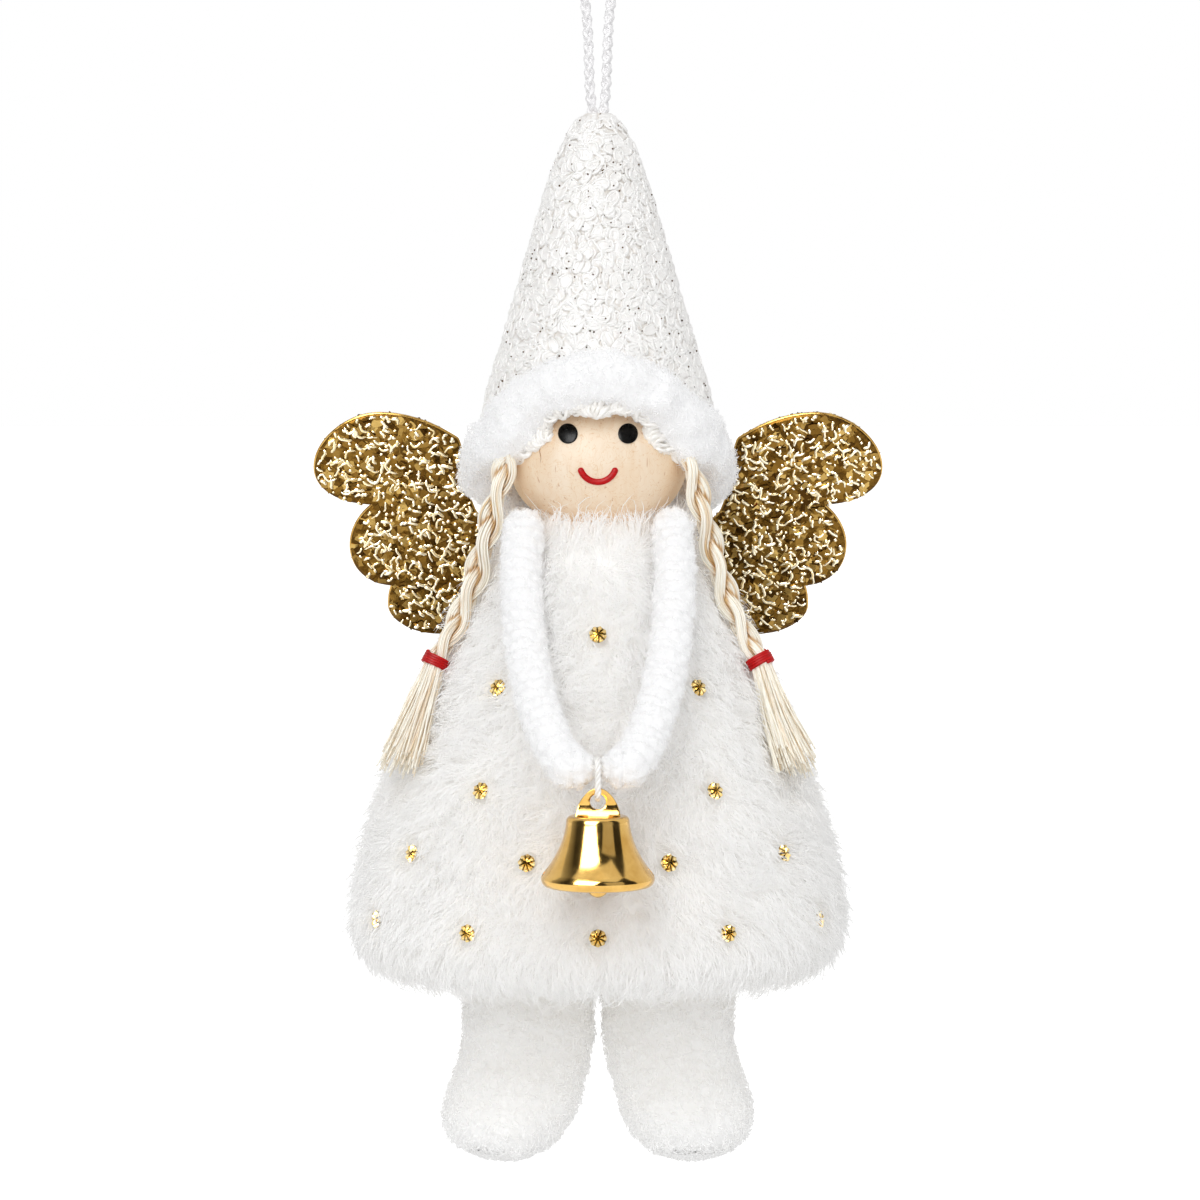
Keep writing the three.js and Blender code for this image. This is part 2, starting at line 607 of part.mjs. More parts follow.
function buildBell() {
  const y = bellY();
  const loop = [
    ...steps(8, (t) => [Math.PI * t, STITCH_Z]),
    ...steps(8, (t) => [Math.PI * (1 + t), STITCH_Z - THREAD_DROP]),
  ].map(([a, z]) => new THREE.Vector3(0, y + THREAD_BEND_R * Math.cos(a), z + THREAD_BEND_R * Math.sin(a)));
  add("bell_thread", sweep(loop, loop.map(() => THREAD_R), 8, true), FINISH.cord);

  const shoulder = steps(3, (t) => (t * Math.PI) / 2).map((a) => [
    CROWN_R - CROWN_ROUND * (1 - Math.sin(a)),
    CROWN_Z - CROWN_ROUND * (1 - Math.cos(a)),
  ]);
  const side = steps(7, (t) => CROWN_Z - CROWN_ROUND - (BELL_H - CROWN_ROUND) * t).slice(1);
  const outside = [...shoulder, ...side.map((z) => [bellRadius(z), z])];
  const roof = CROWN_Z - BELL_WALL;
  const insideHeights = steps(7, (t) => roof - CROWN_ROUND - (roof - CROWN_ROUND - MOUTH_Z) * t).reverse();
  const inside = insideHeights.map((z) => [bellRadius(z) - BELL_WALL, z]);
  const vault = [[CROWN_R - BELL_WALL - CROWN_ROUND, roof], [0, roof]];
  const shell = turned([[0, CROWN_Z], ...outside, ...inside, ...vault], 26).translate(0, y, 0);
  const slotW = 2 * (TAIL_HALF_W + GAP);
  const slot = box(slotW, TAB_T + 2 * GAP, 4 * BELL_WALL, 0, y, roof);
  add("bell_shell", cut(shell, slot), FINISH.gold);

  const foot = CROWN_Z + GAP;
  const top = TAB_HOLE_Z + TAB_HOLE_R + TAB_BRIDGE;
  const topR = TAB_HOLE_R + TAB_BRIDGE;
  const eyeZ = CROWN_Z - TAIL_L + EYE_HOLE_R + TAB_BRIDGE;
  const tab = new THREE.Shape();
  tab.moveTo(TAIL_HALF_W, foot);
  tab.lineTo(TAB_HALF_W, foot);
  tab.quadraticCurveTo(TAB_HALF_W - 0.4, TAB_HOLE_Z, topR * 0.75, top - topR * 0.3);
  tab.quadraticCurveTo(topR * 0.4, top, 0, top);
  tab.quadraticCurveTo(-topR * 0.4, top, -topR * 0.75, top - topR * 0.3);
  tab.quadraticCurveTo(-TAB_HALF_W + 0.4, TAB_HOLE_Z, -TAB_HALF_W, foot);
  tab.lineTo(-TAIL_HALF_W, foot);
  tab.lineTo(-TAIL_HALF_W, eyeZ);
  tab.absarc(0, eyeZ, TAIL_HALF_W, Math.PI, 2 * Math.PI, false);
  tab.lineTo(TAIL_HALF_W, foot);
  const hole = new THREE.Path();
  hole.absarc(0, TAB_HOLE_Z, TAB_HOLE_R, 0, 2 * Math.PI, true);
  const eye = new THREE.Path();
  eye.absarc(0, eyeZ, EYE_HOLE_R, 0, 2 * Math.PI, true);
  tab.holes.push(hole, eye);
  const plate = new THREE.ExtrudeGeometry(tab, { depth: TAB_T, bevelEnabled: false, curveSegments: 7 });
  plate.rotateX(Math.PI / 2).translate(0, y + TAB_T / 2, 0);
  add("bell_hanger", closed(plate), FINISH.gold);

  const ringZ = eyeZ - CLAPPER_RING_R;
  const ballZ = MOUTH_Z - CLAPPER_SHOW + CLAPPER_BALL_R;
  const link = new THREE.TorusGeometry(CLAPPER_RING_R, CLAPPER_WIRE_R, 6, 14).rotateY(Math.PI / 2);
  const rodTop = ringZ - CLAPPER_RING_R;
  const rod = rodAlongZ(CLAPPER_WIRE_R, rodTop - ballZ, 0, y, (rodTop + ballZ) / 2, 6);
  const ball = new THREE.SphereGeometry(CLAPPER_BALL_R, 12, 8).rotateX(Math.PI / 2).translate(0, y, ballZ);
  add("clapper", join(closed(link.translate(0, y, ringZ)), rod, closed(ball)), FINISH.gold);
}

function plaitPath(side) {
  const az = PLAIT_HEAD_AZIMUTH;
  const top = polar(HEAD_R + PLAIT_R + 2 * GAP, az, 0);
  const trimAzimuth = Math.atan2(top.x, -(top.y + HEAD_Y));
  const pivot = new THREE.Vector3(top.x, top.y + HEAD_Y, trimHeight(trimAzimuth) - TRIM_R - GAP - PLAIT_R);
  const onSide = polar(clearOfDress(PLAIT_SIDE_Z, PLAIT_R + GAP), PLAIT_SIDE_AZIMUTH, PLAIT_SIDE_Z);
  const tie = polar(clearOfDress(TIE_Z, TIE_R + TIE_THREAD_R + GAP), PLAIT_SIDE_AZIMUTH, TIE_Z);
  const curve = new THREE.CatmullRomCurve3([pivot, onSide, tie]);
  const at = (t) => curve.getPointAt(t).multiply(new THREE.Vector3(side, 1, 1));
  const along = (t) => curve.getTangentAt(t).multiply(new THREE.Vector3(side, 1, 1));
  return { at, along };
}

function buildPlait(name, side) {
  const { at, along } = plaitPath(side);
  const strands = [0, 1, 2].map((k) => {
    const radii = [];
    const points = steps(16, (t) => {
      const p = at(t);
      const outward = new THREE.Vector3(p.x, p.y, 0).normalize();
      outward.addScaledVector(along(t), -outward.dot(along(t))).normalize();
      const across = along(t).cross(outward);
      const slim = 0.72 + 0.28 * Math.sin(Math.PI * t) ** 0.6;
      const turn = 2 * Math.PI * (PLAIT_TURNS * t + k / 3);
      radii.push(PLAIT_STRAND_R * slim);
      p.addScaledVector(across, PLAIT_SWAY * slim * Math.sin(turn));
      return p.addScaledVector(outward, PLAIT_DEPTH * slim * Math.sin(2 * turn));
    });
    return sweep(points, radii, 5);
  });
  add(`${name}_plait`, join(...strands), FINISH.straw);

  const end = at(1);
  const axis = along(1);
  const outward = new THREE.Vector3(end.x, end.y, 0).normalize();
  outward.addScaledVector(axis, -outward.dot(axis)).normalize();
  const across = axis.clone().cross(outward);
  const rise = TIE_TURNS * TIE_PITCH;
  const coil = steps(20 * TIE_TURNS, (t) => {
    const a = 2 * Math.PI * TIE_TURNS * t;
    const p = end.clone().addScaledVector(axis, rise * (t - 1) - TIE_THREAD_R);
    return p.addScaledVector(outward, TIE_R * Math.cos(a)).addScaledVector(across, TIE_R * Math.sin(a));
  });
  add(`${name}_plait_tie`, sweep(coil, coil.map(() => TIE_THREAD_R), 6), FINISH.red);
  const selfGap = TIE_PITCH * Math.cos(Math.atan2(TIE_PITCH, 2 * Math.PI * TIE_R)) - 2 * TIE_THREAD_R;
  console.log(`${name} plait tie: least gap to itself ${selfGap.toFixed(2)} mm`);

  const foot = polar(clearOfDress(TASSEL_END_Z, TASSEL_HALF_T + GAP), side * TASSEL_AZIMUTH, TASSEL_END_Z);
  const start = end.clone().addScaledVector(axis, GAP);
  const fall = foot.clone().sub(start);
  const down = fall.clone().normalize();
  const radial = new THREE.Vector3(foot.x, foot.y, 0).normalize();
  const rings = steps(4, (t) => {
    const run = axis.clone().lerp(down, t).normalize();
    const face = radial.clone().addScaledVector(run, -radial.dot(run)).normalize();
    const wide = run.clone().cross(face);
    const w = TASSEL_TOP_R + (TASSEL_HALF_W - TASSEL_TOP_R) * t ** 1.2;
    const d = TASSEL_TOP_R + (TASSEL_HALF_T - TASSEL_TOP_R) * t;
    return ring(20, (a) => {
      const flute = 1 + 0.05 * Math.cos(10 * a);
      const p = start.clone().addScaledVector(fall, t);
      return p.addScaledVector(wide, w * flute * Math.cos(a)).addScaledVector(face, d * flute * Math.sin(a));
    });
  });
  add(`${name}_tassel`, skin(rings), FINISH.straw);
}

function buildWings() {
  const half = new THREE.Path();
  const to = (c, d, p) => half.bezierCurveTo(c[0], c[1], d[0], d[1], p.x, p.y);
  half.moveTo(WING_SINK.x, WING_SINK.y);
  to([12, WING_SINK.y], [24, WING_LOW.y], WING_LOW);
  to([38.2, WING_LOW.y], [WING_LOWER_LOBE.x, 3.2], WING_LOWER_LOBE);
  to([WING_LOWER_LOBE.x, 8.4], [42.7, 10], WING_LOWER_NOTCH);
  to([47.5, 12], [WING_MIDDLE_LOBE.x, 15.8], WING_MIDDLE_LOBE);
  to([WING_MIDDLE_LOBE.x, 25], [48.2, 28.6], WING_UPPER_NOTCH);
  to([53, 31.2], [WING_TIP.x, 34.5], WING_TIP);
  to([WING_TIP.x, 45.5], [50.5, WING_TOP.y], WING_TOP);
  to([38, WING_TOP.y], [33, 49.5], WING_INNER);
  to([26.8, 42], [27.2, 34], WING_NECK);
  to([22, 23.5], [10, WING_MIDDLE.y], WING_MIDDLE);
  const right = half.getPoints(5);
  const left = right.slice(1, -1).reverse().map((p) => new THREE.Vector2(-p.x, p.y));
  const outline = new THREE.Shape([...right, ...left]);
  const plate = new THREE.ExtrudeGeometry(outline, { depth: WING_T, bevelEnabled: false });
  const lean = Math.atan(-dressSlope(WING_SEAT_Z));
  const footUp = (WING_SEAT_Z - WING_FOOT_Z) / Math.cos(lean);
  plate.rotateX(Math.PI / 2).translate(0, WING_T + GAP, -footUp);
  plate.rotateX(lean).translate(0, dressRadius(WING_SEAT_Z), WING_SEAT_Z);
  const tools = [trimShape(TRIM_R + 3 * GAP, false, 32)];
  add("wings", cut(closed(plate), ...tools), FINISH.glitter);
}

// Half-sizes and middle of a leg at a height over the floor, drawn in by an inset.
function legRing(side, h, inset, count) {
  const t = THREE.MathUtils.smoothstep(ANKLE_H - h, 0, ANKLE_H - INSTEP_H);
  const round = h < FOOT_ROUND ? Math.sqrt(1 - ((FOOT_ROUND - h) / FOOT_ROUND) ** 2) : 1;
  const gather = THREE.MathUtils.clamp((h - LEG_LENGTH + HIP_GATHER) / HIP_GATHER, 0, 1);
  const w = THREE.MathUtils.lerp(LEG_HALF_W, FOOT_HALF_W, t) * round;
  const d = THREE.MathUtils.lerp(LEG_HALF_D, FOOT_HALF_L, t) * round;
  const edge = Math.max(h - LEG_LENGTH, 0);
  const halfW = THREE.MathUtils.lerp(w, HIP_HALF_W, gather ** 2) - inset;
  const top = edge > 0 ? Math.sqrt(HIP_EDGE_R ** 2 - edge ** 2) : HIP_EDGE_R;
  const halfD = top + (d - HIP_EDGE_R) * Math.sqrt(1 - gather ** 2) - inset;
  const x = side * THREE.MathUtils.lerp(LEG_X, FOOT_X, t);
  const y = HIP_Y + LEG_BACK * (1 - gather ** 2) - FOOT_FORWARD * t;
  const z = HIP_Z - LEG_LENGTH + h;
  return ring(count, (a) => new THREE.Vector3(x + halfW * Math.cos(a), y + halfD * Math.sin(a), z));
}

function buildLeg(name, side) {
  const count = 16;
  const low = SOLE_H + GAP;
  const inTop = LEG_LENGTH - 0.3 * HIP_GATHER;
  const outside = [low, 5.5, 9, FOOT_ROUND, 18, 22.5, 28, LEG_LENGTH - HIP_GATHER];
  const gathered = [0.4, 0.7, 0.9, 1].map((k) => LEG_LENGTH - HIP_GATHER + HIP_GATHER * k);
  const edge = [0.5, 0.98].map((k) => LEG_LENGTH + HIP_EDGE_R * k);
  const inside = [inTop, LEG_LENGTH - HIP_GATHER, 24, FOOT_ROUND, 7, low];
  const rings = [
    ...inside.map((h) => legRing(side, h, BOOT_CLOTH, count)),
    ...[...outside, ...gathered, ...edge].map((h) => legRing(side, h, 0, count)),
  ];
  const reach = 4 * HIP_HALF_W;
  const bore = rodAlongX(HIP_THREAD_R + GAP, reach, side * LEG_X, HIP_Y, HIP_Z, 8);
  add(`${name}_boot`, cut(skin(rings), bore), FINISH.plush);

  const core = [low, 7, FOOT_ROUND, 24, LEG_LENGTH - HIP_GATHER, inTop - GAP];
  add(
    `${name}_boot_filling`,
    skin(core.map((h) => legRing(side, h, BOOT_CLOTH + GAP, count))),
    FINISH.stuffing,
  );
  add(`${name}_sole`, skin([0.25, 1, SOLE_H].map((h) => legRing(side, h, 0, count))), FINISH.plush);

  const top = BASE_Z + BASE_T + HIP_KNOT_R;
  const corner = (x, towards) =>
    steps(3, (t) => (t * Math.PI) / 2).map(
      (a) =>
        new THREE.Vector3(
          x + towards * HIP_THREAD_BEND * (1 - Math.cos(a)),
          HIP_Y,
          HIP_Z + HIP_THREAD_BEND * (1 - Math.sin(a)),
        ),
    );
  const [near, far] = [hipThreadX(side, -1), hipThreadX(side, 1)];
  const path = [
    new THREE.Vector3(near, HIP_Y, top),
    ...corner(near, side),
    ...corner(far, -side).reverse(),
    new THREE.Vector3(far, HIP_Y, top),
  ];
  const knot = (x) => closed(new THREE.SphereGeometry(HIP_KNOT_R, 8, 6).translate(x, HIP_Y, top + GAP));
  const thread = sweep(path, path.map(() => HIP_THREAD_R), 6);
  add(`${name}_hip_thread`, join(thread, knot(near), knot(far)), FINISH.cord);
}

buildDress();
buildBase();
buildSequins();
buildHead();
buildHat();
add("hat_trim", cut(trimShape(TRIM_R, true, 32), headShape(GAP, 28, 16)), FINISH.plush);
buildCord();
buildArms();
buildBell();
for (const [name, side] of Object.entries(SIDES)) {
  buildPlait(name, side);
  buildLeg(name, side);
}
buildWings();

export default root;
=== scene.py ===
import math

import bpy
import numpy as np
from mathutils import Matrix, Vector
from mathutils.geometry import delaunay_2d_cdt
from mathutils.kdtree import KDTree

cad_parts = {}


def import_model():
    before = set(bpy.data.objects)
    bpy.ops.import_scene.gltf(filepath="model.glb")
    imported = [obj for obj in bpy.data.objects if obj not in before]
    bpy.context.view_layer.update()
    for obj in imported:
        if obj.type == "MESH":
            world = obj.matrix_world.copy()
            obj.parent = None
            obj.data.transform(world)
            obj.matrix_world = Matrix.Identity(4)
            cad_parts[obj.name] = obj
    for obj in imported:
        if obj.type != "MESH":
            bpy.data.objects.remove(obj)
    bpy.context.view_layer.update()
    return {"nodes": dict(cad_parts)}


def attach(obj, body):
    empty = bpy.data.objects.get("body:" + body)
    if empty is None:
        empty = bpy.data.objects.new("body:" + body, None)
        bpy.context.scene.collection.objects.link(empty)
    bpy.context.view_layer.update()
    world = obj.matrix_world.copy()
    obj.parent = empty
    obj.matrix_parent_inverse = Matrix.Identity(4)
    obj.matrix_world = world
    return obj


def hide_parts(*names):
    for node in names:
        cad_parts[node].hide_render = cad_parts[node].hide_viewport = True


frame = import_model()

# Shapes are in millimetres over the dress hem, as in the part's source, and build() sets them in the frame.
MM = 0.001
HANGING_Z = 204.9
UV = "OFBake"
SIDES = {"left": 1, "right": -1}
GAP = 0.3
TURN = 2 * np.pi
GOLDEN_ANGLE = 2.39996
NOISE_HASH = (73856093, 19349663, 83492791)
NEAR_CHUNK = 20000

HEM_R, SKIRT_R, SKIRT_Z = 40.5, 47.5, 9
COLLAR_R, COLLAR_Z, DRESS_CURVE = 15.5, 88.5, 1.5
HEAD_SIZE = np.array([17.8, 17.8, 14.5])
HEAD_AT = np.array([0, -2.5, 100.4])
HAT_TIP_Z, HAT_R, HAT_H, HAT_TIP, HAT_TAPER = 169.5, 26.5, 76, 1.2, 0.55
TRIM_BACK_Z, TRIM_RISE, TRIM_FALL = 94, 22.2, math.radians(125)
TRIM_SHAPE, TRIM_INSET, TRIM_R = 0.75, 2.8, 5.7
BELL_Y, STITCH_Z, THREAD_BEND, THREAD_DROP = -57.48, 44.6, 1.55, 4.3
TAB_HOLE_Z, CROWN_Z, CLAPPER_EYE_Z, MOUTH_Z, BELL_R, CROWN_R = 38.2, 35.5, 33.3, 22.0, 10.8, 6.0
PLAIT_TOP = np.array([18.0, -13.3, 100.8])
WING_SEAT_Z = 70.0
HIP_X, HIP_Y, HIP_Z, LEG_H = 13.7, -2, 3.1, 43.1
HIP_BEND = [(0, 7.6), (0, 5.5), (0, 4.2), (0.3, 3.4), (1, 3.1)]
SEQUIN_R = 1.75
SEQUIN_ROWS = [
    (67.1, [0]),
    (56.7, [35.6]),
    (37.4, [33, 147]),
    (24.5, [17.4, 52.6, 127.4, 162.6]),
    (10.8, [0, 31.3, 64, 116, 148.7, 180]),
]


# numbers
def unit(v):
    return v / np.maximum(np.linalg.norm(v, axis=-1, keepdims=True), 1e-9)


def square(v, way):
    """The direction of v, made square to way."""
    return unit(v - (v * way).sum(-1, keepdims=True) * way)


def smooth(t):
    t = np.clip(t, 0, 1)
    return t * t * (3 - 2 * t)


def band(v, low, high, soft):
    """One between low and high, and fading to nought at them over a soft edge."""
    return smooth((v - low) / soft) * smooth((high - v) / soft)


def turns(count):
    """Bearings evenly round a circle."""
    return TURN * np.arange(count) / count


def circle(angles, first, second):
    """Points of a unit circle from its first direction towards its second."""
    return np.cos(angles)[..., None] * first + np.sin(angles)[..., None] * second


def polar(radius, azimuth, z):
    radius, azimuth, z = np.broadcast_arrays(radius, azimuth, z)
    return np.stack([radius * np.sin(azimuth), -radius * np.cos(azimuth), z], -1).astype(float)


def raised(flat):
    """Flat points with a third coordinate of nought."""
    return np.column_stack([flat, np.zeros(len(flat))])


def noise(points, size, seed):
    """Smooth noise from -1 to 1 with features about size across."""
    q = np.asarray(points, float) / size + 1000
    cell = np.floor(q).astype(np.int64)
    f = smooth(q - cell)
    total = np.zeros(q.shape[:-1])
    for corner in np.ndindex(2, 2, 2):
        h = np.bitwise_xor.reduce((cell + corner) * NOISE_HASH, -1) ^ (seed * 26544357)
        h = ((h ^ (h >> 13)) * 1274126177) & 0x7FFFFFFF
        h = h ^ (h >> 15)
        weight = np.prod(np.where(corner, f, 1 - f), -1)
        total += ((h & 0xFFFF) / 32767.5 - 1) * weight
    return total


def lumps(points, *layers):
    """Layers of noise, each with a height, a size and a seed."""
    return sum(height * noise(points, size, seed) for height, size, seed in layers)


def near(points, line, reach=0.0):
    """Distance from points to the nearest sample of a line, less the line's own reach there."""
    flat = points.reshape(-1, 3)
    chunks = np.array_split(flat, len(flat) // NEAR_CHUNK + 1)
    gaps = [(np.linalg.norm(chunk[:, None] - line, axis=2) - reach).min(1) for chunk in chunks]
    return np.concatenate(gaps).reshape(points.shape[:-1])


def nearest(points, centres):
    """The number of the centre that is nearest to each point."""
    tree = KDTree(len(centres))
    for i, centre in enumerate(centres):
        tree.insert(centre, i)
    tree.balance()
    return np.array([tree.find(p)[1] for p in points])


def lengths(points):
    """Distance along a path to each of its points."""
    return np.concatenate([[0], np.cumsum(np.linalg.norm(np.diff(points, axis=0), axis=1))])


def even(points, count):
    """Points spread evenly along a path."""
    run = lengths(points)
    at = np.linspace(0, run[-1], count)
    return np.stack([np.interp(at, run, points[:, i]) for i in range(3)], -1)


def catmull(points, count, steps=40):
    """Points spread evenly along a centripetal curve through the given ones."""
    p = np.asarray(points, float)
    p = np.vstack([2 * p[0] - p[1], p, 2 * p[-1] - p[-2]])
    x = np.linspace(0, 1, steps, endpoint=False)[:, None]
    made = []
    for a, b, c, d in zip(p, p[1:], p[2:], p[3:]):
        s, t, u = (max(np.linalg.norm(e) ** 0.5, 1e-4) for e in (b - a, c - b, d - c))
        m = ((b - a) / s - (c - a) / (s + t) + (c - b) / t) * t
        n = ((c - b) / t - (d - b) / (t + u) + (d - c) / u) * t
        made.append(b + m * x + (3 * (c - b) - 2 * m - n) * x**2 + (2 * (b - c) + m + n) * x**3)
    return even(np.vstack([*made, p[-2:-1]]), count)


# forms shared by pieces
def dress_radius(z):
    z = np.asarray(z, float)
    low = HEM_R + (SKIRT_R - HEM_R) * np.sqrt(np.clip(1 - ((SKIRT_Z - z) / SKIRT_Z) ** 2, 0, 1))
    rise = np.clip((z - SKIRT_Z) / (COLLAR_Z - SKIRT_Z), 0, 1)
    return np.where(z < SKIRT_Z, low, COLLAR_R + (SKIRT_R - COLLAR_R) * (1 - rise**DRESS_CURVE))


def dress_slope(z, step=0.05):
    return (dress_radius(z + step) - dress_radius(z - step)) / (2 * step)


def clear_of_dress(z, distance):
    return dress_radius(z) + distance * np.hypot(1, dress_slope(np.minimum(z, COLLAR_Z - 1)))


def head_depth(points, grow):
    """Under one inside the head, grown."""
    return np.linalg.norm((points - HEAD_AT) / (HEAD_SIZE + grow), axis=-1)


def off_head(points, grow):
    """Points inside the head, grown, are moved out to its surface."""
    depth = head_depth(points, grow)[..., None]
    return np.where(depth < 1, HEAD_AT + (points - HEAD_AT) / np.maximum(depth, 0.2), points)


def face_point(x, z, out):
    """Points on the head's front surface, or out in front of it."""
    across = (x / HEAD_SIZE[0]) ** 2 + ((z - HEAD_AT[2]) / HEAD_SIZE[2]) ** 2
    y = HEAD_AT[1] - HEAD_SIZE[1] * np.sqrt(np.clip(1 - across, 0, 1))
    return np.stack([x, y - out, z], -1)


def trim_height(azimuth):
    turn = np.minimum(np.abs(np.arctan2(np.sin(azimuth), np.cos(azimuth))) / TRIM_FALL, 1)
    return TRIM_BACK_Z + TRIM_RISE * ((1 + np.cos(np.pi * turn)) / 2) ** TRIM_SHAPE


def hat_radius(z):
    return HAT_R * ((np.maximum(HAT_TIP_Z - z, 0) + HAT_TIP) / (HAT_H + HAT_TIP)) ** HAT_TAPER


def trim_point(azimuth, angle=0.0, radius=0.0):
    z = trim_height(azimuth)
    return polar(hat_radius(z) - TRIM_INSET + radius * np.cos(angle), azimuth, z + radius * np.sin(angle))


def arm_path(side, count):
    """The middle of an arm from shoulder to hand, and its radius at each point."""
    tip, straight, spread, elbow, hand, in_front_of_bell = 4.65, 1.0, 15.0, 80.0, 44.3, -2
    shoulder_r, taper = 4.1, 0.4
    end = math.acos((tip + straight) / spread)
    a = np.linspace(math.radians(-15), end, count)
    r = shoulder_r - taper * np.linspace(0, 1, count)
    x = spread * np.cos(a)
    z = elbow - (elbow - hand) * np.sin(a) / math.sin(end)
    reach = (np.maximum(np.sin(a), 0) / math.sin(end)) ** 2
    standoff = -BELL_Y + in_front_of_bell - clear_of_dress(hand, r[-1] + GAP)
    out = clear_of_dress(z, r + GAP) + standoff * reach
    y = -np.sqrt(out**2 - (1 - reach) * x**2)
    path = np.stack([side * x, y, z], -1)
    return np.vstack([path, [side * tip, y[-1], hand]]), np.append(r, r[-1])


def plait_path(side, count):
    turn = math.radians(69.5)
    rests = [polar(clear_of_dress(z, distance), turn, z) for z, distance in ((73.0, 2.9), (60.0, 3.4))]
    return catmull([PLAIT_TOP, *rests], count) * (side, 1, 1)


def tassel_line(side):
    """The top and foot of a tassel, and the way that the plait comes into it."""
    foot_z, turn, distance = 40.5, math.radians(62.5), 2.7
    end = plait_path(side, 60)[-2:]
    run = unit(end[1] - end[0])
    return end[1] + GAP * run, polar(clear_of_dress(foot_z, distance), side * turn, foot_z), run


def sequin_seats():
    for z, azimuths in SEQUIN_ROWS:
        for degrees in azimuths:
            for azimuth in [degrees] if degrees % 180 == 0 else [degrees, -degrees]:
                a = math.radians(azimuth)
                out = unit(polar(1.0, a, -dress_slope(z)))
                yield polar(float(dress_radius(z)), a, z) + GAP * out, out


WING_LEAN = math.atan(-float(dress_slope(WING_SEAT_Z)))
WING_FOOT = 7 / math.cos(WING_LEAN)


def wing_place(flat, depth):
    """Flat wing points, out and up the plate, at a depth behind the plate's seat."""
    z = flat[:, 1] - WING_FOOT
    c, s = math.cos(WING_LEAN), math.sin(WING_LEAN)
    seat_y = float(dress_radius(WING_SEAT_Z))
    return np.stack([flat[:, 0], depth * c - z * s + seat_y, depth * s + z * c + WING_SEAT_Z], -1)


def wing_outline(steps):
    """Both wings' outline, from the corner points of cubic curves for one of them."""
    points = [(0, 6), (12, 6), (24, 0), (33, 0), (38.2, 0), (42.9, 3.2), (42.9, 6.6), (42.9, 8.4), (42.7, 10),
              (42.1, 11.6), (47.5, 12), (50.4, 15.8), (50.4, 20.8), (50.4, 25), (48.2, 28.6), (45.4, 30.9),
              (53, 31.2), (57.2, 34.5), (57.2, 39.2), (57.2, 45.5), (50.5, 51.8), (43.9, 51.8), (38, 51.8),
              (33, 49.5), (28.3, 46), (26.8, 42), (27.2, 34), (25, 29), (22, 23.5), (10, 21.5), (0, 21.5)]
    p = np.array(points, float)
    t = np.linspace(0, 1, steps, endpoint=False)[:, None]
    half = [
        (1 - t) ** 3 * a + 3 * t * (1 - t) ** 2 * b + 3 * t**2 * (1 - t) * c + t**3 * d
        for a, b, c, d in zip(p[::3], p[1::3], p[2::3], p[3::3])
    ]
    right = np.vstack([*half, p[-1:]])
    return np.vstack([right, right[1:-1][::-1] * (-1, 1)])


# meshes
class Geo:
    """Points, lists of faces with equally many corners, and a place in the colour map for each point."""

    def __init__(self, points, faces, uv=None):
        self.points, self.faces, self.uv = np.asarray(points, float), faces, uv

    def triangles(self):
        return np.vstack([f[:, [0, i, i + 1]] for f in self.faces for i in range(1, f.shape[1] - 1)])

    def corners(self):
        return self.points[self.triangles().T]

    def normals(self):
        a, b, c = self.corners()
        n = np.cross(b - a, c - a)
        total = np.zeros_like(self.points)
        for corner in self.triangles().T:
            np.add.at(total, corner, n)
        return unit(total)

    def outward(self):
        a, b, c = self.corners()
        if np.einsum("ij,ij->", a, np.cross(b, c)) < 0:
            self.faces = [f[:, ::-1] for f in self.faces]
        return self

    def swell(self, height):
        self.points = self.points + self.normals() * height[:, None]
        return self

    def scatter(self, count, rng):
        """Random places on the skin, and the normals there."""
        a, b, c = self.corners()
        area = np.linalg.norm(np.cross(b - a, c - a), axis=1)
        pick = self.triangles()[np.searchsorted(np.cumsum(area) / area.sum(), rng.random(count))]
        u, v = rng.random(count), rng.random(count)
        past = u + v > 1
        u, v = np.where(past, 1 - u, u), np.where(past, 1 - v, v)
        share = np.stack([1 - u - v, u, v], -1)[..., None]
        return (self.points[pick] * share).sum(1), unit((self.normals()[pick] * share).sum(1))


def merged(*geos):
    start, points, faces = 0, [], []
    for g in geos:
        points.append(g.points)
        faces += [f + start for f in g.faces]
        start += len(g.points)
    uv = np.vstack([g.uv for g in geos]) if all(g.uv is not None for g in geos) else None
    return Geo(np.vstack(points), faces, uv)


def skin(rows, sides, looped):
    """Quads between rows of points that each go round."""
    i, j = np.arange(rows if looped else rows - 1)[:, None], np.arange(sides)[None]
    here, there, k = i * sides, (i + 1) % rows * sides, (j + 1) % sides
    return np.stack(np.broadcast_arrays(here + j, here + k, there + k, there + j), -1).reshape(-1, 4)


def fan(ring, tip):
    """Triangles from a ring of points to one point."""
    return np.stack([ring, np.roll(ring, -1), np.full(len(ring), tip)], -1)


def loft(rings, looped=False):
    """A closed skin over rings of points, capped at both ends or looped."""
    m, n, _ = rings.shape
    points, faces = rings.reshape(-1, 3), [skin(m, n, looped)]
    if not looped:
        points = np.vstack([points, rings[0].mean(0), rings[-1].mean(0)])
        low, high = fan(np.arange(n), m * n), fan(np.arange(n) + (m - 1) * n, m * n + 1)
        faces.append(np.vstack([low[:, [1, 0, 2]], high]))
    return Geo(points, faces).outward()


def frames(paths, looped=False):
    """Two directions across paths that turn as little as they can."""
    if looped:
        run = unit(np.roll(paths, -1, 1) - np.roll(paths, 1, 1))
    else:
        run = unit(np.gradient(paths, axis=1))
    side, sides = np.array([0.31, 0.52, 0.79]), []
    for way in np.moveaxis(run, 1, 0):
        side = square(side, way)
        sides.append(side)
    sides = np.stack(sides, 1)
    return sides, np.cross(run, sides)


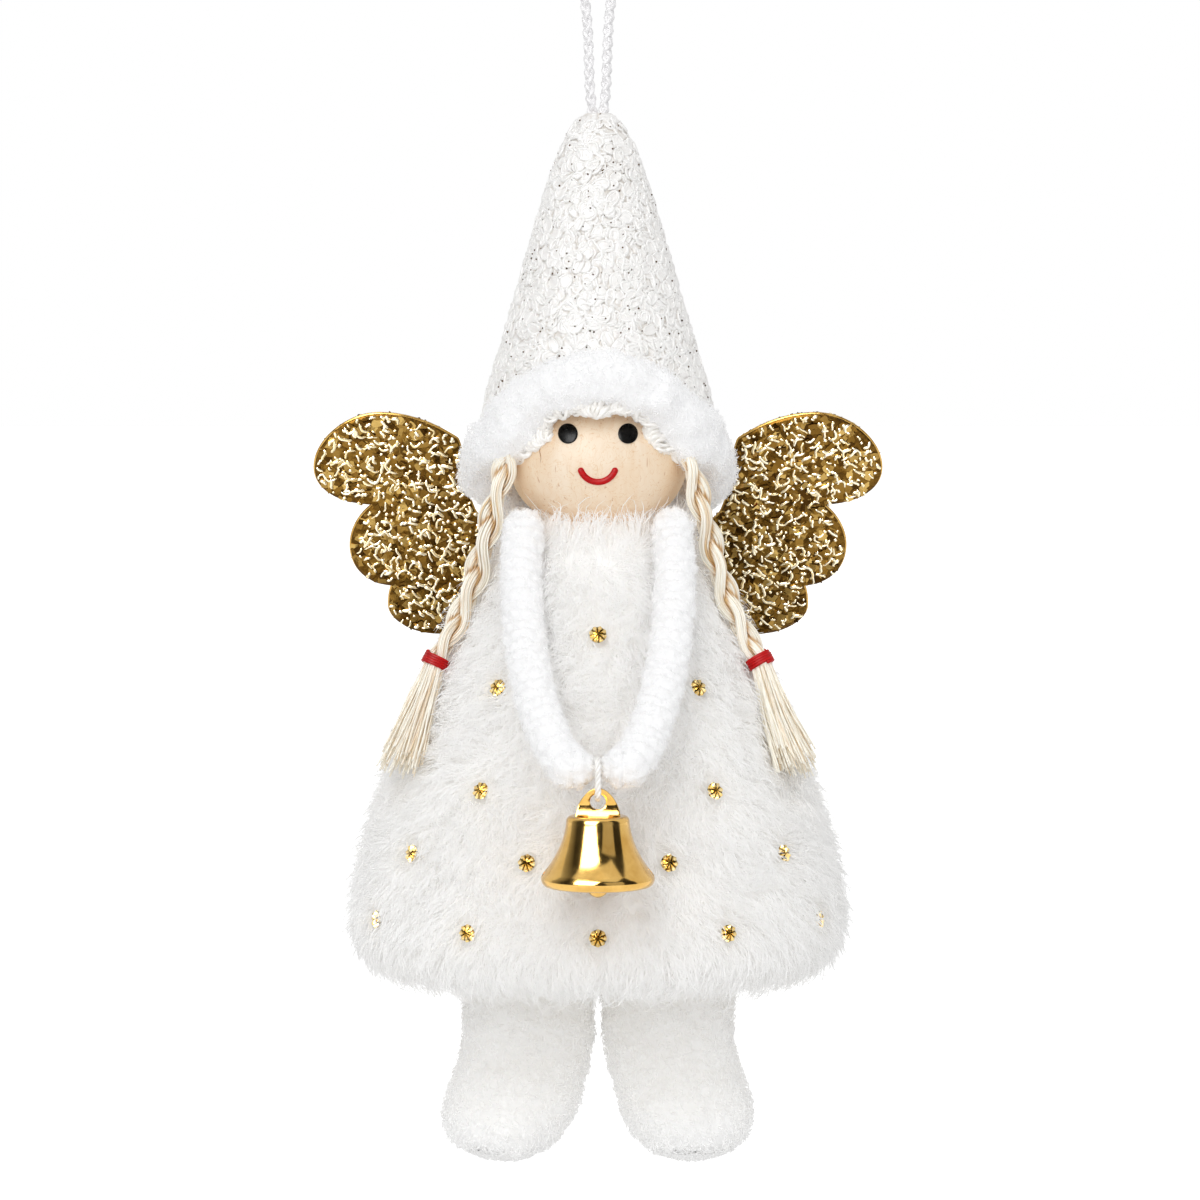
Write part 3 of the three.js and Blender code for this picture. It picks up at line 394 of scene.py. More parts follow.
def tubes(paths, radii, sides, tip=False, looped=False, tone=None):
    """One tube along each path, or along the one given. With tip, each one ends in a point."""
    paths = np.reshape(paths, (-1, *np.shape(paths)[-2:]))
    n, k, _ = paths.shape
    side, across = frames(paths, looped)
    a = turns(sides)
    rings = circle(a, side[:, :, None], across[:, :, None])
    rings = paths[:, :, None] + np.broadcast_to(radii, (n, k))[:, :, None, None] * rings
    rows = k - 1 if tip else k
    tone = np.linspace(0.02, 0.98, n) if tone is None else np.broadcast_to(tone, n)
    u = np.broadcast_to(tone[:, None, None] + 0.004 * np.cos(a), (n, rows, sides))
    v = np.broadcast_to((np.arange(rows) / (k - 1))[None, :, None], (n, rows, sides))
    points = rings[:, :rows].reshape(n, -1, 3)
    uv = np.stack([u, v], -1).reshape(n, -1, 2)
    if tip:
        points = np.concatenate([points, paths[:, -1:]], 1)
        uv = np.concatenate([uv, np.stack([tone, np.ones(n)], -1)[:, None]], 1)
    size = points.shape[1]
    first = np.arange(sides)
    last = first + (rows - 1) * sides
    shapes = [skin(rows, sides, looped)]
    if not looped:
        shapes += [first[None, ::-1], fan(last, size - 1) if tip else last[None]]
    step = (np.arange(n) * size)[:, None, None]
    faces = [(shape + step).reshape(-1, shape.shape[1]) for shape in shapes]
    return Geo(points.reshape(-1, 3), faces, uv.reshape(-1, 2)).outward()


def round_ends(path, radius, steps=4):
    """A path and radii with a rounded end at both ends, for tubes()."""
    a = np.linspace(np.pi / 2 * 0.97, 0, steps, endpoint=False)
    first, last = unit(path[0] - path[1]), unit(path[-1] - path[-2])
    head = path[0] + first * (radius * np.sin(a))[:, None]
    tail = path[-1] + last * (radius * np.sin(a[::-1]))[:, None]
    ends = radius * np.cos(a)
    return np.vstack([head, path, tail]), np.concatenate([ends, np.full(len(path), radius), ends[::-1]])


def twist(path, plies, ply_radius, offset, pitch, looped=False):
    """Plies wound round a path."""
    side, across = (way[0] for way in frames(path[None], looped))
    length = lengths(path)
    wound = length / pitch
    if looped:
        whole = length[-1] + np.linalg.norm(path[0] - path[-1])
        wound = length / whole * max(1, round(whole / pitch))
    paths = [path + offset * circle(TURN * (wound + k / plies), side, across) for k in range(plies)]
    return tubes(paths, ply_radius, 8, looped=looped)


def trefoil(count, wide, tall, at):
    """A closed overhand knot round a point."""
    a = turns(count)
    x, y = np.sin(a) + 2 * np.sin(2 * a), np.cos(a) - 2 * np.cos(2 * a)
    return np.stack([wide * x, wide * y, -tall * np.sin(3 * a)], -1) + at


def globe(tilts, bearings):
    """Rings of a unit ball at angles from its pole."""
    u, a = tilts[:, None], bearings[None]
    return np.stack([np.sin(u) * np.cos(a), np.sin(u) * np.sin(a), np.cos(u) + 0 * a], -1)


def lathe(profile, count, at):
    """A turned piece: the closed profile of (radius, height) swung round a vertical axis at a point."""
    a = turns(count)[:, None]
    r, z = np.asarray(profile, float).T
    return loft(np.stack([at[0] + r * np.cos(a), at[1] + r * np.sin(a), z + 0 * a], -1), True)


def inside(points, outline):
    """True for the flat points inside a closed outline."""
    x, y = points[:, :1], points[:, 1:]
    a, b = outline, np.roll(outline, -1, 0)
    crosses = (a[None, :, 1] > y) != (b[None, :, 1] > y)
    rise = np.where(np.abs(b[:, 1] - a[:, 1]) < 1e-9, 1e-9, b[:, 1] - a[:, 1])
    meet = a[None, :, 0] + (y - a[None, :, 1]) * ((b[:, 0] - a[:, 0]) / rise)[None]
    return (crosses & (x < meet)).sum(1) % 2 == 1


def plate(outline, holes, spacing, face, keep=None):
    """A plate over an outline with holes: face(flat, side) gives the points of its front, -1, and back, 1."""
    borders = [outline, *holes]

    def within(points):
        return np.all([inside(points, outline), *(~inside(points, hole) for hole in holes)], 0)

    low, high = outline.min(0), outline.max(0)
    grid = []
    for i, y in enumerate(np.arange(low[1], high[1], spacing * 0.87)):
        x = np.arange(low[0] + i % 2 * spacing / 2, high[0], spacing)
        grid.append(np.column_stack([x, np.full(len(x), y)]))
    flat = np.vstack(grid)
    clear = [near(raised(flat), raised(border)) > spacing * 0.6 for border in borders]
    points, edges = [], []
    for border in borders:
        n = len(points)
        points += [Vector(p) for p in border]
        edges += [(n + i, n + (i + 1) % len(border)) for i in range(len(border))]
    points += [Vector(p) for p in flat[within(flat) & np.all(clear, 0)]]
    made = delaunay_2d_cdt(points, edges, [], 1, 1e-6)
    flat, tris = (np.array([tuple(item) for item in made[i]]) for i in (0, 2))
    middle = flat[tris].mean(1)
    good = within(middle)
    if keep is not None:
        good &= keep(middle)
    used, tris = np.unique(tris[good], return_inverse=True)
    flat, tris = flat[used], tris.reshape(-1, 3)
    n = len(flat)
    sides = np.vstack([tris[:, [0, 1]], tris[:, [1, 2]], tris[:, [2, 0]]]).tolist()
    known = {tuple(side) for side in sides}
    rim = np.array([side for side in sides if (side[1], side[0]) not in known])
    walls = np.column_stack([rim, rim[:, ::-1] + n])[:, ::-1]
    return Geo(np.vstack([face(flat, -1), face(flat, 1)]), [tris, tris[:, ::-1] + n, walls]).outward()


def build(name, geo, look, replaces=(), body="figure", flat=False, values=None):
    """A piece in the frame that rides a body and takes the place of CAD nodes."""
    mesh = bpy.data.meshes.new(name)
    mesh.vertices.add(len(geo.points))
    mesh.vertices.foreach_set("co", ((geo.points - (0, 0, HANGING_Z)) * MM).astype(np.float32).ravel())
    loops = np.concatenate([f.ravel() for f in geo.faces]).astype(np.int32)
    sizes = np.concatenate([np.full(len(f), f.shape[1]) for f in geo.faces])
    mesh.loops.add(len(loops))
    mesh.loops.foreach_set("vertex_index", loops)
    mesh.polygons.add(len(sizes))
    mesh.polygons.foreach_set("loop_start", (np.cumsum(sizes) - sizes).astype(np.int32))
    if geo.uv is not None:
        mesh.uv_layers.new(name=UV).data.foreach_set("uv", geo.uv[loops].astype(np.float32).ravel())
    for key, value in (values or {}).items():
        mesh.attributes.new(key, "FLOAT", "POINT").data.foreach_set("value", value.astype(np.float32))
    mesh.update(calc_edges=True)
    if flat:
        mesh.shade_flat()
    else:
        mesh.shade_smooth()
    mesh.materials.append(looks[look])
    piece = bpy.data.objects.new(name, mesh)
    bpy.context.scene.collection.objects.link(piece)
    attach(piece, body)
    if replaces:
        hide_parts(*replaces)
    return piece


# materials
WHITE = (1, 1, 1)


def rgb(r, g, b):
    """A colour as a screen shows it, for Blender's linear sockets."""
    return tuple(c / 12.92 if c <= 0.04045 else ((c + 0.055) / 1.055) ** 2.4 for c in (r, g, b)) + (1.0,)


class Look:
    """A material whose nodes are added one at a time."""

    def __init__(self, name, **values):
        self.material = bpy.data.materials.new(name)
        self.material.use_nodes = True
        self.tree = self.material.node_tree
        self.shader = self.tree.nodes["Principled BSDF"]
        self.set(**values)

    def put(self, value, socket):
        if isinstance(value, bpy.types.NodeSocket):
            self.tree.links.new(value, socket)
        else:
            socket.default_value = value

    def set(self, **inputs):
        for key, value in inputs.items():
            self.put(value, self.shader.inputs[key.replace("_", " ")])

    def add(self, kind, settings=None, **inputs):
        """A new node. An input goes by its name or, where names repeat, by its number, such as _6."""
        node = self.tree.nodes.new("ShaderNode" + kind)
        for key, value in (settings or {}).items():
            setattr(node, key, value)
        for key, value in inputs.items():
            self.put(value, node.inputs[int(key[1:]) if key[1:].isdigit() else key.replace("_", " ")])
        return node

    def place(self, stretch=(1, 1, 1)):
        return self.add("Mapping", Vector=self.add("TexCoord").outputs["Object"], Scale=stretch).outputs[0]

    def noise(self, size, vector, detail=2.0, rough=0.5, twist=0.0):
        inputs = {"Scale": 1 / (size * MM), "Detail": detail, "Roughness": rough, "Distortion": twist}
        return self.add("TexNoise", Vector=vector, **inputs).outputs[0]

    def blend(self, fac, stops):
        node = self.add("ValToRGB", Fac=fac)
        elements = node.color_ramp.elements
        while len(elements) < len(stops):
            elements.new(0.5)
        for element, (at, colour) in zip(elements, stops):
            element.position = at
            element.color = colour
        return node.outputs["Color"]

    def ramp(self, fac, *stops):
        return self.blend(fac, [(at, rgb(*colour)) for at, colour in stops])

    def grey(self, fac, *stops):
        return self.blend(fac, [(at, (v, v, v, 1)) for at, v in stops])

    def mix(self, factor, a, b, kind="MIX"):
        return self.add("Mix", {"data_type": "RGBA", "blend_type": kind}, _0=factor, _6=a, _7=b).outputs[2]

    def times(self, a, b, factor=1.0):
        return self.mix(factor, a, b, "MULTIPLY")

    def maths(self, kind, a, b=0.0):
        return self.add("Math", {"operation": kind}, _0=a, _1=b).outputs[0]

    def value(self, name):
        """A value that the mesh carries at its points."""
        return self.add("Attribute", {"attribute_name": name}).outputs["Fac"]

    def strand(self):
        """Place along a strand from its root, and a number of its own."""
        parts = self.add("SeparateXYZ", Vector=self.add("UVMap", {"uv_map": UV}).outputs["UV"])
        return parts.outputs["Y"], parts.outputs["X"]

    def tone(self, own, scale):
        """A random value for each strand."""
        return self.add("TexNoise", {"noise_dimensions": "1D"}, W=own, Scale=scale, Detail=1.0).outputs[0]

    def done(self, colour, rough, height=None, strength=0.0, distance=0.0):
        """The material with its colour and roughness, and bumps where a height is given."""
        self.set(Base_Color=colour, Roughness=rough)
        if height is not None:
            bump = self.add("Bump", Strength=strength, Distance=distance * MM, Height=height)
            self.set(Normal=bump.outputs["Normal"])
        return self.material


def strand_look(name, root, middle, tip, spread):
    """Fibres that pale from the root to the tip, each with a tone of its own."""
    look = Look(name, Specular_IOR_Level=0.2)
    along, own = look.strand()
    tone = look.tone(own, 90.0)
    colour = look.ramp(along, (0.0, root), (0.45, middle), (1.0, tip))
    shade = look.grey(tone, (0.28, 1 - spread), (0.42, 1.0))
    return look.done(look.times(colour, shade), look.grey(tone, (0.3, 0.55), (0.7, 0.8)))


def cloth_look(name, dark, light, size, height):
    """Short pile: mottled colour with a fine nap."""
    look = Look(name, Specular_IOR_Level=0.2)
    at = look.place()
    patch = look.noise(size, at, 4, 0.6)
    nap = look.noise(size / 6, at, 3, 0.7, 0.6)
    colour = look.ramp(look.mix(0.5, patch, nap), (0.3, dark), (0.65, light))
    return look.done(colour, look.grey(nap, (0.3, 0.75), (0.7, 0.95)), look.mix(0.6, patch, nap), 0.7, height)


def yarn_look(name, dark, light, pitch, low=0.32, high=0.62, **values):
    """Spun yarn: slanting plies along the strand, a tone for each one, and painted shade where it lies deep
    between other strands.
    """
    look = Look(name, **values)
    along, own = look.strand()
    tone = look.tone(own, 60.0)
    slant = look.maths("ADD", look.maths("MULTIPLY", along, pitch), look.maths("MULTIPLY", own, 900.0))
    ply = look.maths("SINE", slant)
    drawn = look.add("CombineXYZ", X=look.maths("MULTIPLY", own, 700.0), Y=look.maths("MULTIPLY", along, 5.0))
    flat = {"noise_dimensions": "2D"}
    streak = look.add("TexNoise", flat, Vector=drawn.outputs[0], Scale=1.0, Detail=3.0).outputs[0]
    colour = look.ramp(look.mix(0.45, tone, streak), (low, dark), (high, light))
    # painted shade: darker brown where a yarn lies deep between the other strands of a plait
    shade = look.ramp(look.value("deep"), (0.0, WHITE), (1.0, (0.84, 0.70, 0.50)))
    rough = look.grey(tone, (0.3, 0.35), (0.7, 0.55))
    return look.done(look.times(colour, shade), rough, look.mix(0.4, ply, streak), 0.35, 0.08)


def gold_look(name, dark, light, rough, size, height):
    """Polished plated metal with faint wear and hairline scratches."""
    look = Look(name, Metallic=1.0)
    wear = look.noise(size, look.place(), 5, 0.65)
    lines = look.noise(size / 5, look.place((1, 1, 0.08)), 2, 0.5)
    colour = look.ramp(wear, (0.3, dark), (0.6, light))
    polish = look.grey(wear, (0.35, rough * 0.7), (0.7, rough * 1.5))
    return look.done(colour, polish, look.mix(0.5, wear, lines), 0.15, height)


def paint_look(name, dark, light, rough):
    """Brushed paint."""
    look = Look(name, Specular_IOR_Level=0.14)
    brush = look.noise(0.9, look.place((1, 1, 2.2)), 4, 0.6)
    gloss = look.grey(look.noise(0.5, look.place()), (0.3, rough * 0.8), (0.7, rough * 1.3))
    return look.done(look.ramp(brush, (0.35, dark), (0.65, light)), gloss, brush, 0.25, 0.06)


def foil_look(name, colours, grain, wear, polish, bumps):
    """Gold foil: each leaf or wrinkle has its own tone and polish, under a fine wear."""
    look = Look(name, Metallic=1.0)
    size, detail, rough = grain
    share, worn = wear
    tone = look.tone(look.strand()[1], 400.0)
    fine = look.noise(size, look.place(), detail, rough)
    colour = look.times(look.ramp(tone, *colours), look.grey(fine, (0.3, worn), (0.6, 1.0)), share)
    return look.done(colour, look.grey(tone, (0.3, polish[0]), (0.7, polish[1])), fine, *bumps)


def sequin_look():
    """Star-cut metallised disc: bright petals with painted shade in the cuts between them."""
    look = Look("sequin_gold", Metallic=1.0)
    wear = look.noise(0.9, look.place(), 3)
    petals = look.ramp(wear, (0.3, (0.90, 0.76, 0.44)), (0.65, (0.99, 0.9, 0.66)))
    # painted shade: the cuts and the middle, where relief is low, are darkened to brown
    cuts = look.ramp(look.value("relief"), (0.4, (0.24, 0.15, 0.05)), (0.7, WHITE))
    return look.done(look.times(petals, cuts), look.grey(wear, (0.3, 0.1), (0.7, 0.2)), wear, 0.1, 0.03)


def hat_look():
    """Pearly embossed cloth: painted warm-grey shade in the hollows, satin on the ridges."""
    satin = {"Coat_Weight": 0.1, "Coat_Roughness": 0.25, "Sheen_Weight": 0.15}
    look = Look("embossed_pearl", Specular_IOR_Level=0.3, **satin)
    at = look.place()
    weave = look.noise(0.35, at, 3, 0.6)
    tone = look.mix(0.2, look.value("relief"), look.mix(0.5, look.noise(5, at, 3), weave))
    # painted shade: the colour darkens to warm grey where the relief is low
    painted_hollow_shade, slope, ridge = (0.89, 0.87, 0.845), (0.94, 0.93, 0.92), (0.968, 0.963, 0.957)
    colour = look.ramp(tone, (0.06, painted_hollow_shade), (0.25, slope), (0.45, ridge))
    return look.done(colour, look.grey(weave, (0.3, 0.28), (0.7, 0.42)), weave, 0.2, 0.08)


def wood_look():
    """Pale sealed wood: upright grain, a few darker pores, faint swirls and painted shade that warms and
    darkens the sides.
    """
    look = Look("pale_wood", Specular_IOR_Level=0.15, Coat_Weight=0.04, Coat_Roughness=0.3)
    at = look.place()
    grain = look.noise(2.2, look.place((1, 1, 0.16)), 5, 0.6, 0.8)
    broad = look.noise(9, look.place((1, 1, 0.4)), 3, 0.5, 0.5)
    pore = look.noise(0.5, look.place((1, 1, 0.07)), 2, 0.5)
    swirl = look.noise(3.2, at, 2, 0.5, 2.5)
    dark, middle, light = (0.93, 0.82, 0.69), (0.955, 0.875, 0.775), (0.975, 0.915, 0.835)
    colour = look.ramp(look.mix(0.45, broad, grain), (0.3, dark), (0.5, middle), (0.7, light))
    lines = look.ramp(swirl, (0.485, WHITE), (0.5, (0.95, 0.885, 0.79)), (0.515, WHITE))
    # painted shade: warmer and darker towards the sides of the head
    aside = look.maths("ABSOLUTE", look.add("SeparateXYZ", Vector=at).outputs["X"])
    warm = look.ramp(look.maths("MULTIPLY", aside, 50.0), (0.45, WHITE), (0.95, (0.98, 0.94, 0.875)))
    pores = look.ramp(pore, (0.27, (0.80, 0.62, 0.42)), (0.33, WHITE))
    colour = look.times(look.times(look.times(colour, lines, 0.95), warm), pores, 0.6)
    rough = look.grey(grain, (0.3, 0.38), (0.7, 0.52))
    return look.done(colour, rough, look.mix(0.5, grain, swirl), 0.12, 0.12)


LEAF_COLOURS = [(0.3, (0.27, 0.18, 0.06)), (0.5, (0.50, 0.37, 0.15)), (0.7, (0.76, 0.63, 0.36))]
# the wrinkles' near-white gold is a painted highlight along the foil's ridges
WRINKLE_HIGHLIGHT_COLOURS = [(0.3, (0.93, 0.84, 0.62)), (0.6, (1.0, 0.97, 0.88))]
DULL = {"Specular_IOR_Level": 0.2}
SATIN = {"Specular_IOR_Level": 0.3, "Coat_Weight": 0.15}

looks = {
    "fur": strand_look(
        "long_white_pile", (0.994, 0.9925, 0.99), (0.997, 0.996, 0.9945), (0.999, 0.9985, 0.9975), 0.04),
    "fur_cloth": cloth_look("pile_backing", (0.985, 0.982, 0.977), (0.993, 0.991, 0.988), 4, 0.3),
    "plush": cloth_look("curly_pile", (0.972, 0.972, 0.974), (0.984, 0.984, 0.986), 2.2, 0.15),
    "plush_fibre": strand_look(
        "curly_pile_fibre", (0.984, 0.984, 0.986), (0.989, 0.989, 0.991), (0.993, 0.993, 0.995), 0.02),
    "boot": cloth_look("short_pile", (0.991, 0.99, 0.988), (0.996, 0.995, 0.994), 2.6, 0.15),
    "boot_fibre": strand_look(
        "short_pile_fibre", (0.996, 0.9955, 0.9945), (0.9975, 0.997, 0.996), (0.9985, 0.998, 0.997), 0.02),
    "straw": yarn_look("straw_yarn", (0.88, 0.745, 0.54), (1.0, 0.985, 0.94), 40, 0.28, 0.5),
    "red_thread": yarn_look("red_thread", (0.56, 0.01, 0.02), (0.78, 0.02, 0.03), 160, **DULL),
    "cord": yarn_look("braided_cord", (0.88, 0.875, 0.88), (0.955, 0.952, 0.955), 260),
    "thread": yarn_look("white_thread", (0.93, 0.925, 0.91), (0.975, 0.97, 0.96), 120),
    "piping": yarn_look("satin_piping", (0.95, 0.945, 0.935), (0.985, 0.982, 0.978), 60, **SATIN),
    "frill": yarn_look("frill_yarn", (0.96, 0.95, 0.93), (0.99, 0.983, 0.972), 60, Coat_Weight=0.2),
    "hat": hat_look(),
    "wood": wood_look(),
    "felt": cloth_look("base_board", (0.80, 0.76, 0.69), (0.9, 0.87, 0.81), 3, 0.15),
    "bell": gold_look("polished_gold", (0.78, 0.60, 0.29), (0.86, 0.70, 0.40), 0.12, 6, 0.03),
    "rim": gold_look("wing_rim", (0.62, 0.46, 0.2), (0.82, 0.67, 0.38), 0.25, 2, 0.05),
    # painted shade: the plate is dark brown gold to stand for the shade between the flakes
    "plate": gold_look("wing_plate", (0.26, 0.17, 0.05), (0.42, 0.30, 0.11), 0.35, 0.8, 0.2),
    "dot": gold_look("pin_dot", (0.16, 0.11, 0.07), (0.36, 0.28, 0.2), 0.3, 0.5, 0.02),
    "chips": foil_look("gold_flakes", LEAF_COLOURS, (0.5, 3, 0.6), (0.5, 0.7), (0.3, 0.16), (0.3, 0.05)),
    "crease": foil_look(
        "foil_wrinkles", WRINKLE_HIGHLIGHT_COLOURS, (0.6, 2, 0.5), (0.4, 0.75), (0.24, 0.12), (0.1, 0.04)
    ),
    "sequin": sequin_look(),
    "black": paint_look("black_paint", (0.015, 0.013, 0.013), (0.04, 0.035, 0.033), 0.3),
    "red": paint_look("red_paint", (0.66, 0.03, 0.05), (0.78, 0.06, 0.08), 0.4),
    "check": paint_look("open_grain", (0.62, 0.42, 0.25), (0.74, 0.55, 0.36), 0.6),
}


# dress
def dress_table():
    """Radii and heights up the dress, and the direction of its surface there."""
    low = SKIRT_Z * (1 - np.cos(np.linspace(0, 1, 80)[:-1] * np.pi / 2))
    z = np.concatenate([low, np.linspace(SKIRT_Z, COLLAR_Z, 260)])
    r = dress_radius(z)
    return r, z, unit(np.stack([np.gradient(r), np.gradient(z)], -1))


def dress_cloth():
    under_fur, wall, neck_r, neck_h = 1.1, 3.4, 9, 6
    r, z, run = dress_table()
    outside = np.stack([r - under_fur * run[:, 1], z + under_fur * run[:, 0]], -1)[::4]
    inner_z = np.linspace(COLLAR_Z - neck_h, 5, 40)
    inner = np.stack([dress_radius(inner_z) - wall, inner_z], -1)
    neck = [[COLLAR_R - 2.2, COLLAR_Z + 0.3], [neck_r, COLLAR_Z - 1.5], [neck_r, COLLAR_Z - neck_h]]
    hem = [[HEM_R - 1.5, 3.0], [HEM_R - 0.5, 1.4]]
    geo = lathe(np.vstack([outside, neck, inner, hem]), 160, (0, 0))
    geo.points = off_head(geo.points, 0.2)
    geo.swell(lumps(geo.points, (0.15, 3, 5)))
    build("dress_cloth", geo, "fur_cloth", ["dress", "body_filling"])


def fur_roots(count, rng):
    """Places spread over the dress, their outward and upward directions, and their bearings."""
    r, z, run = dress_table()
    area = np.hypot(np.diff(r), np.diff(z)) * (r[1:] + r[:-1])
    share = np.concatenate([[0], np.cumsum(area)])
    steps = np.arange(len(z))
    row = np.interp(rng.random(count) * share[-1], share, steps)
    azimuth = rng.random(count) * TURN
    at = polar(np.interp(row, steps, r), azimuth, np.interp(row, steps, z))
    out, rise = unit(np.stack([np.interp(row, steps, run[:, i]) for i in (0, 1)], -1)).T
    return at, polar(rise, azimuth, -out), polar(out, azimuth, rise), azimuth


def fur_lift(at):
    """How freely the fur stands: less by arms, plaits and tassels, behind the bell and under the wings."""
    x, y, z = at.T
    lift = np.ones(len(at))
    t = np.linspace(0, 1, 24)
    for s in SIDES.values():
        top, foot, _ = tassel_line(s)
        tassel_over = (top + (foot - top) * t[:, None], 2.4 + 2.2 * t)
        for line, reach in (arm_path(s, 50), (plait_path(s, 50), 2.7), tassel_over):
            lift = np.minimum(lift, near(at, line, reach) / 3)
    bell_over = (np.abs(x) < 19) * (y < 0) * band(z, 14, 37, 4)
    wings_over = smooth((14 - np.abs(x)) / 4) * (y > 0) * band(z, 58, 86, 3)
    return np.clip(np.minimum(lift, np.minimum(1 - 0.4 * bell_over, 1 - 0.85 * wings_over)), 0.15, 1)


def fur_clear(paths, root_z):
    """True for the fibres that keep out of the plaits and sequins and, below the collar, of the arms."""
    good = np.ones(len(paths), bool)
    for s in SIDES.values():
        good &= (root_z >= 76) | (near(paths, *arm_path(s, 50)) > -0.6).all(1)
        good &= (near(paths, plait_path(s, 50), 2.3) > -0.2).all(1)
    for seat, normal in sequin_seats():
        away = paths - seat
        deep = away @ normal
        flat = np.linalg.norm(away - deep[..., None] * normal, axis=-1)
        good &= ~((flat < SEQUIN_R) & (deep > -1.5) & (deep < 6)).any(1)
    return good


def clumped(paths, clump, clumps, share=0.42):
    """Paths whose tips are drawn to the middle of their clump's tips."""
    members = np.maximum(np.bincount(clump, minlength=clumps), 1)
    mean = np.stack([np.bincount(clump, paths[:, -1, i], clumps) / members for i in range(3)], -1)
    pull = np.linspace(0, 1, paths.shape[1])[None, :, None] ** 2 * share
    return paths + (mean[clump] - paths[:, -1])[:, None] * pull


def fur_paths(count, clumps, rng):
    """Long pile in clumps that swirl and lie downwards, and stand up at the collar."""
    at, out, up, azimuth = fur_roots(count, rng)
    centres = fur_roots(clumps, rng)[0]
    clump = nearest(at, centres)
    height = at[:, 2]
    swirl = lumps(centres, (75, 13, 3), (60, 5, 4)) + rng.normal(0, 20, clumps)
    calm = 0.4 + 0.6 * smooth((height - 4) / 14)
    turn = np.radians(swirl[clump] * calm + rng.normal(0, 24, count))
    rises = rng.random(count) < 0.97 * smooth((height - 79) / 6)
    stray = rng.random(count) < 0.16
    hem = smooth((5 - height) / 5)
    length = 5.4 * (0.7 + 0.6 * rng.random(count)) * np.where(stray, 1.3, 1)
    length = length * np.where(rises, np.where(stray, 1.35, 0.95), 1)
    length = length * (1 + 0.6 * hem * rng.random(count) ** 2)
    rise = np.array([56, 38, 22, 8]) + rng.normal(0, 12, (count, 1)) + rng.normal(0, 9, (count, 4))
    rise = np.radians(rise + np.where(stray, 18, 0)[:, None] - 18 * hem[:, None]) * fur_lift(at)[:, None]
    curl = np.radians(rng.normal(0, 20 + 14 * hem, count))
    lie = np.where(rises, 1.0, -1.0)[:, None] * up
    side = np.cross(up, out)
    paths = np.empty((count, 5, 3))
    paths[:, 0] = at - 0.8 * out
    for j in range(4):
        step = circle(rise[:, j], circle(turn + curl * j, lie, side), out)
        step[:, 2] -= np.where(rises, 0.0, 0.06 * j)
        paths[:, j + 1] = paths[:, j] + unit(step) * (length / 4)[:, None]
    paths = clumped(paths, clump, clumps)
    paths[:, 1:] = off_head(paths[:, 1:], 0.4)
    return paths, height, azimuth


def dress_fur(count=90000, clumps=2600, sectors=9):
    """The pile that is clear of other pieces, as one piece for each sector round the dress."""
    rng = np.random.default_rng(11)
    paths, root_z, azimuth = fur_paths(count, clumps, rng)
    good = fur_clear(paths, root_z)
    radii = 0.088 * (0.75 + 0.5 * rng.random(count))[:, None] * np.array([1, 0.96, 0.85, 0.65, 0.3])
    tone = rng.random(count)
    sector = (azimuth * sectors / TURN).astype(int)
    for i in range(sectors):
        mine = good & (sector == i)
        geo = tubes(paths[mine], radii[mine], 3, True, tone=tone[mine])
        build(f"dress_fur_{i + 1}", geo, "fur", flat=True)


def sequin_star():
    """A disc with eight petals and cuts, and a tone for each of its points that is low in the cuts and the
    middle, for painted shade.
    """
    a = turns(16)
    ridge = np.arange(16) % 2 == 0
    rings, tones = [], []
    levels = [(0.25, 0.62, 0.45), (0.85, 0.8, 0.3), (1.4, 0.68, 0.12), (SEQUIN_R, 0.42, 0.05)]
    for radius, high, low in levels:
        reach = np.where(ridge | (radius < 1.5), radius, radius * 0.93)
        rings.append(np.stack([reach * np.cos(a), reach * np.sin(a), np.where(ridge, high, low)], -1))
        tones.append(np.where(ridge, 1.0, 0.4) - 0.2 * (radius < 0.3))
    star = loft(np.stack(rings + [ring - (0, 0, 0.2) for ring in rings[::-1]]))
    return star, np.concatenate(tones + tones[::-1] + [[0.5, 0.5]])


def sequins():
    star, relief = sequin_star()
    for number, (seat, out) in enumerate(sequin_seats(), 1):
        spin = number * 0.7
        first = unit(np.cross([0.2, 0.3, 1.0], out))
        second = np.cross(out, first)
        x, y = circle(spin, first, second), circle(spin, second, -first)
        p = star.points
        placed = Geo(seat + p[:, :1] * x + p[:, 1:2] * y + (p[:, 2:] + 0.6) * out, star.faces)
        node = f"sequin_{number:02d}"
        # relief carries the painted shade of the cuts and the middle
        build(f"{node}_star", placed, "sequin", [node], flat=True, values={"relief": relief})


# head
def head():
    geo = loft(HEAD_AT + globe(np.linspace(0, np.pi, 90)[1:-1], turns(128)) * HEAD_SIZE)
    geo.swell(lumps(geo.points * (1, 1, 0.3), (0.05, 3, 9)))
    build("wooden_head", geo, "wood", ["head"])


def eyes():
    eye_x, eye_z, eye_r, paint, dome = 5.9, 106.3, 1.95, 0.12, 0.4
    a = turns(64)[None]
    rho = eye_r * np.sin(np.linspace(0.02, 1, 12) * np.pi / 2)[:, None]
    for name, s in SIDES.items():
        x, z = s * eye_x + rho * np.cos(a), eye_z + rho * np.sin(a)
        front = face_point(x, z, paint + dome * np.sqrt(1 - (rho / (eye_r + 0.02)) ** 2))
        eye = loft(np.concatenate([front, face_point(x, z, -0.3)[::-1]]))
        build(f"{name}_eye_dome", eye, "black", [f"{name}_eye"])


def smile():
    half, sag, top = 3.3, 2.2, 99.1
    bend = (half**2 + sag**2) / (2 * sag)
    a = np.linspace(-1, 1, 40) * math.asin(half / bend)
    line = face_point(bend * np.sin(a), top - sag + bend * (1 - np.cos(a)), -0.1)
    build("smile_line", tubes(*round_ends(line, 0.66), 16), "red", ["smile"])


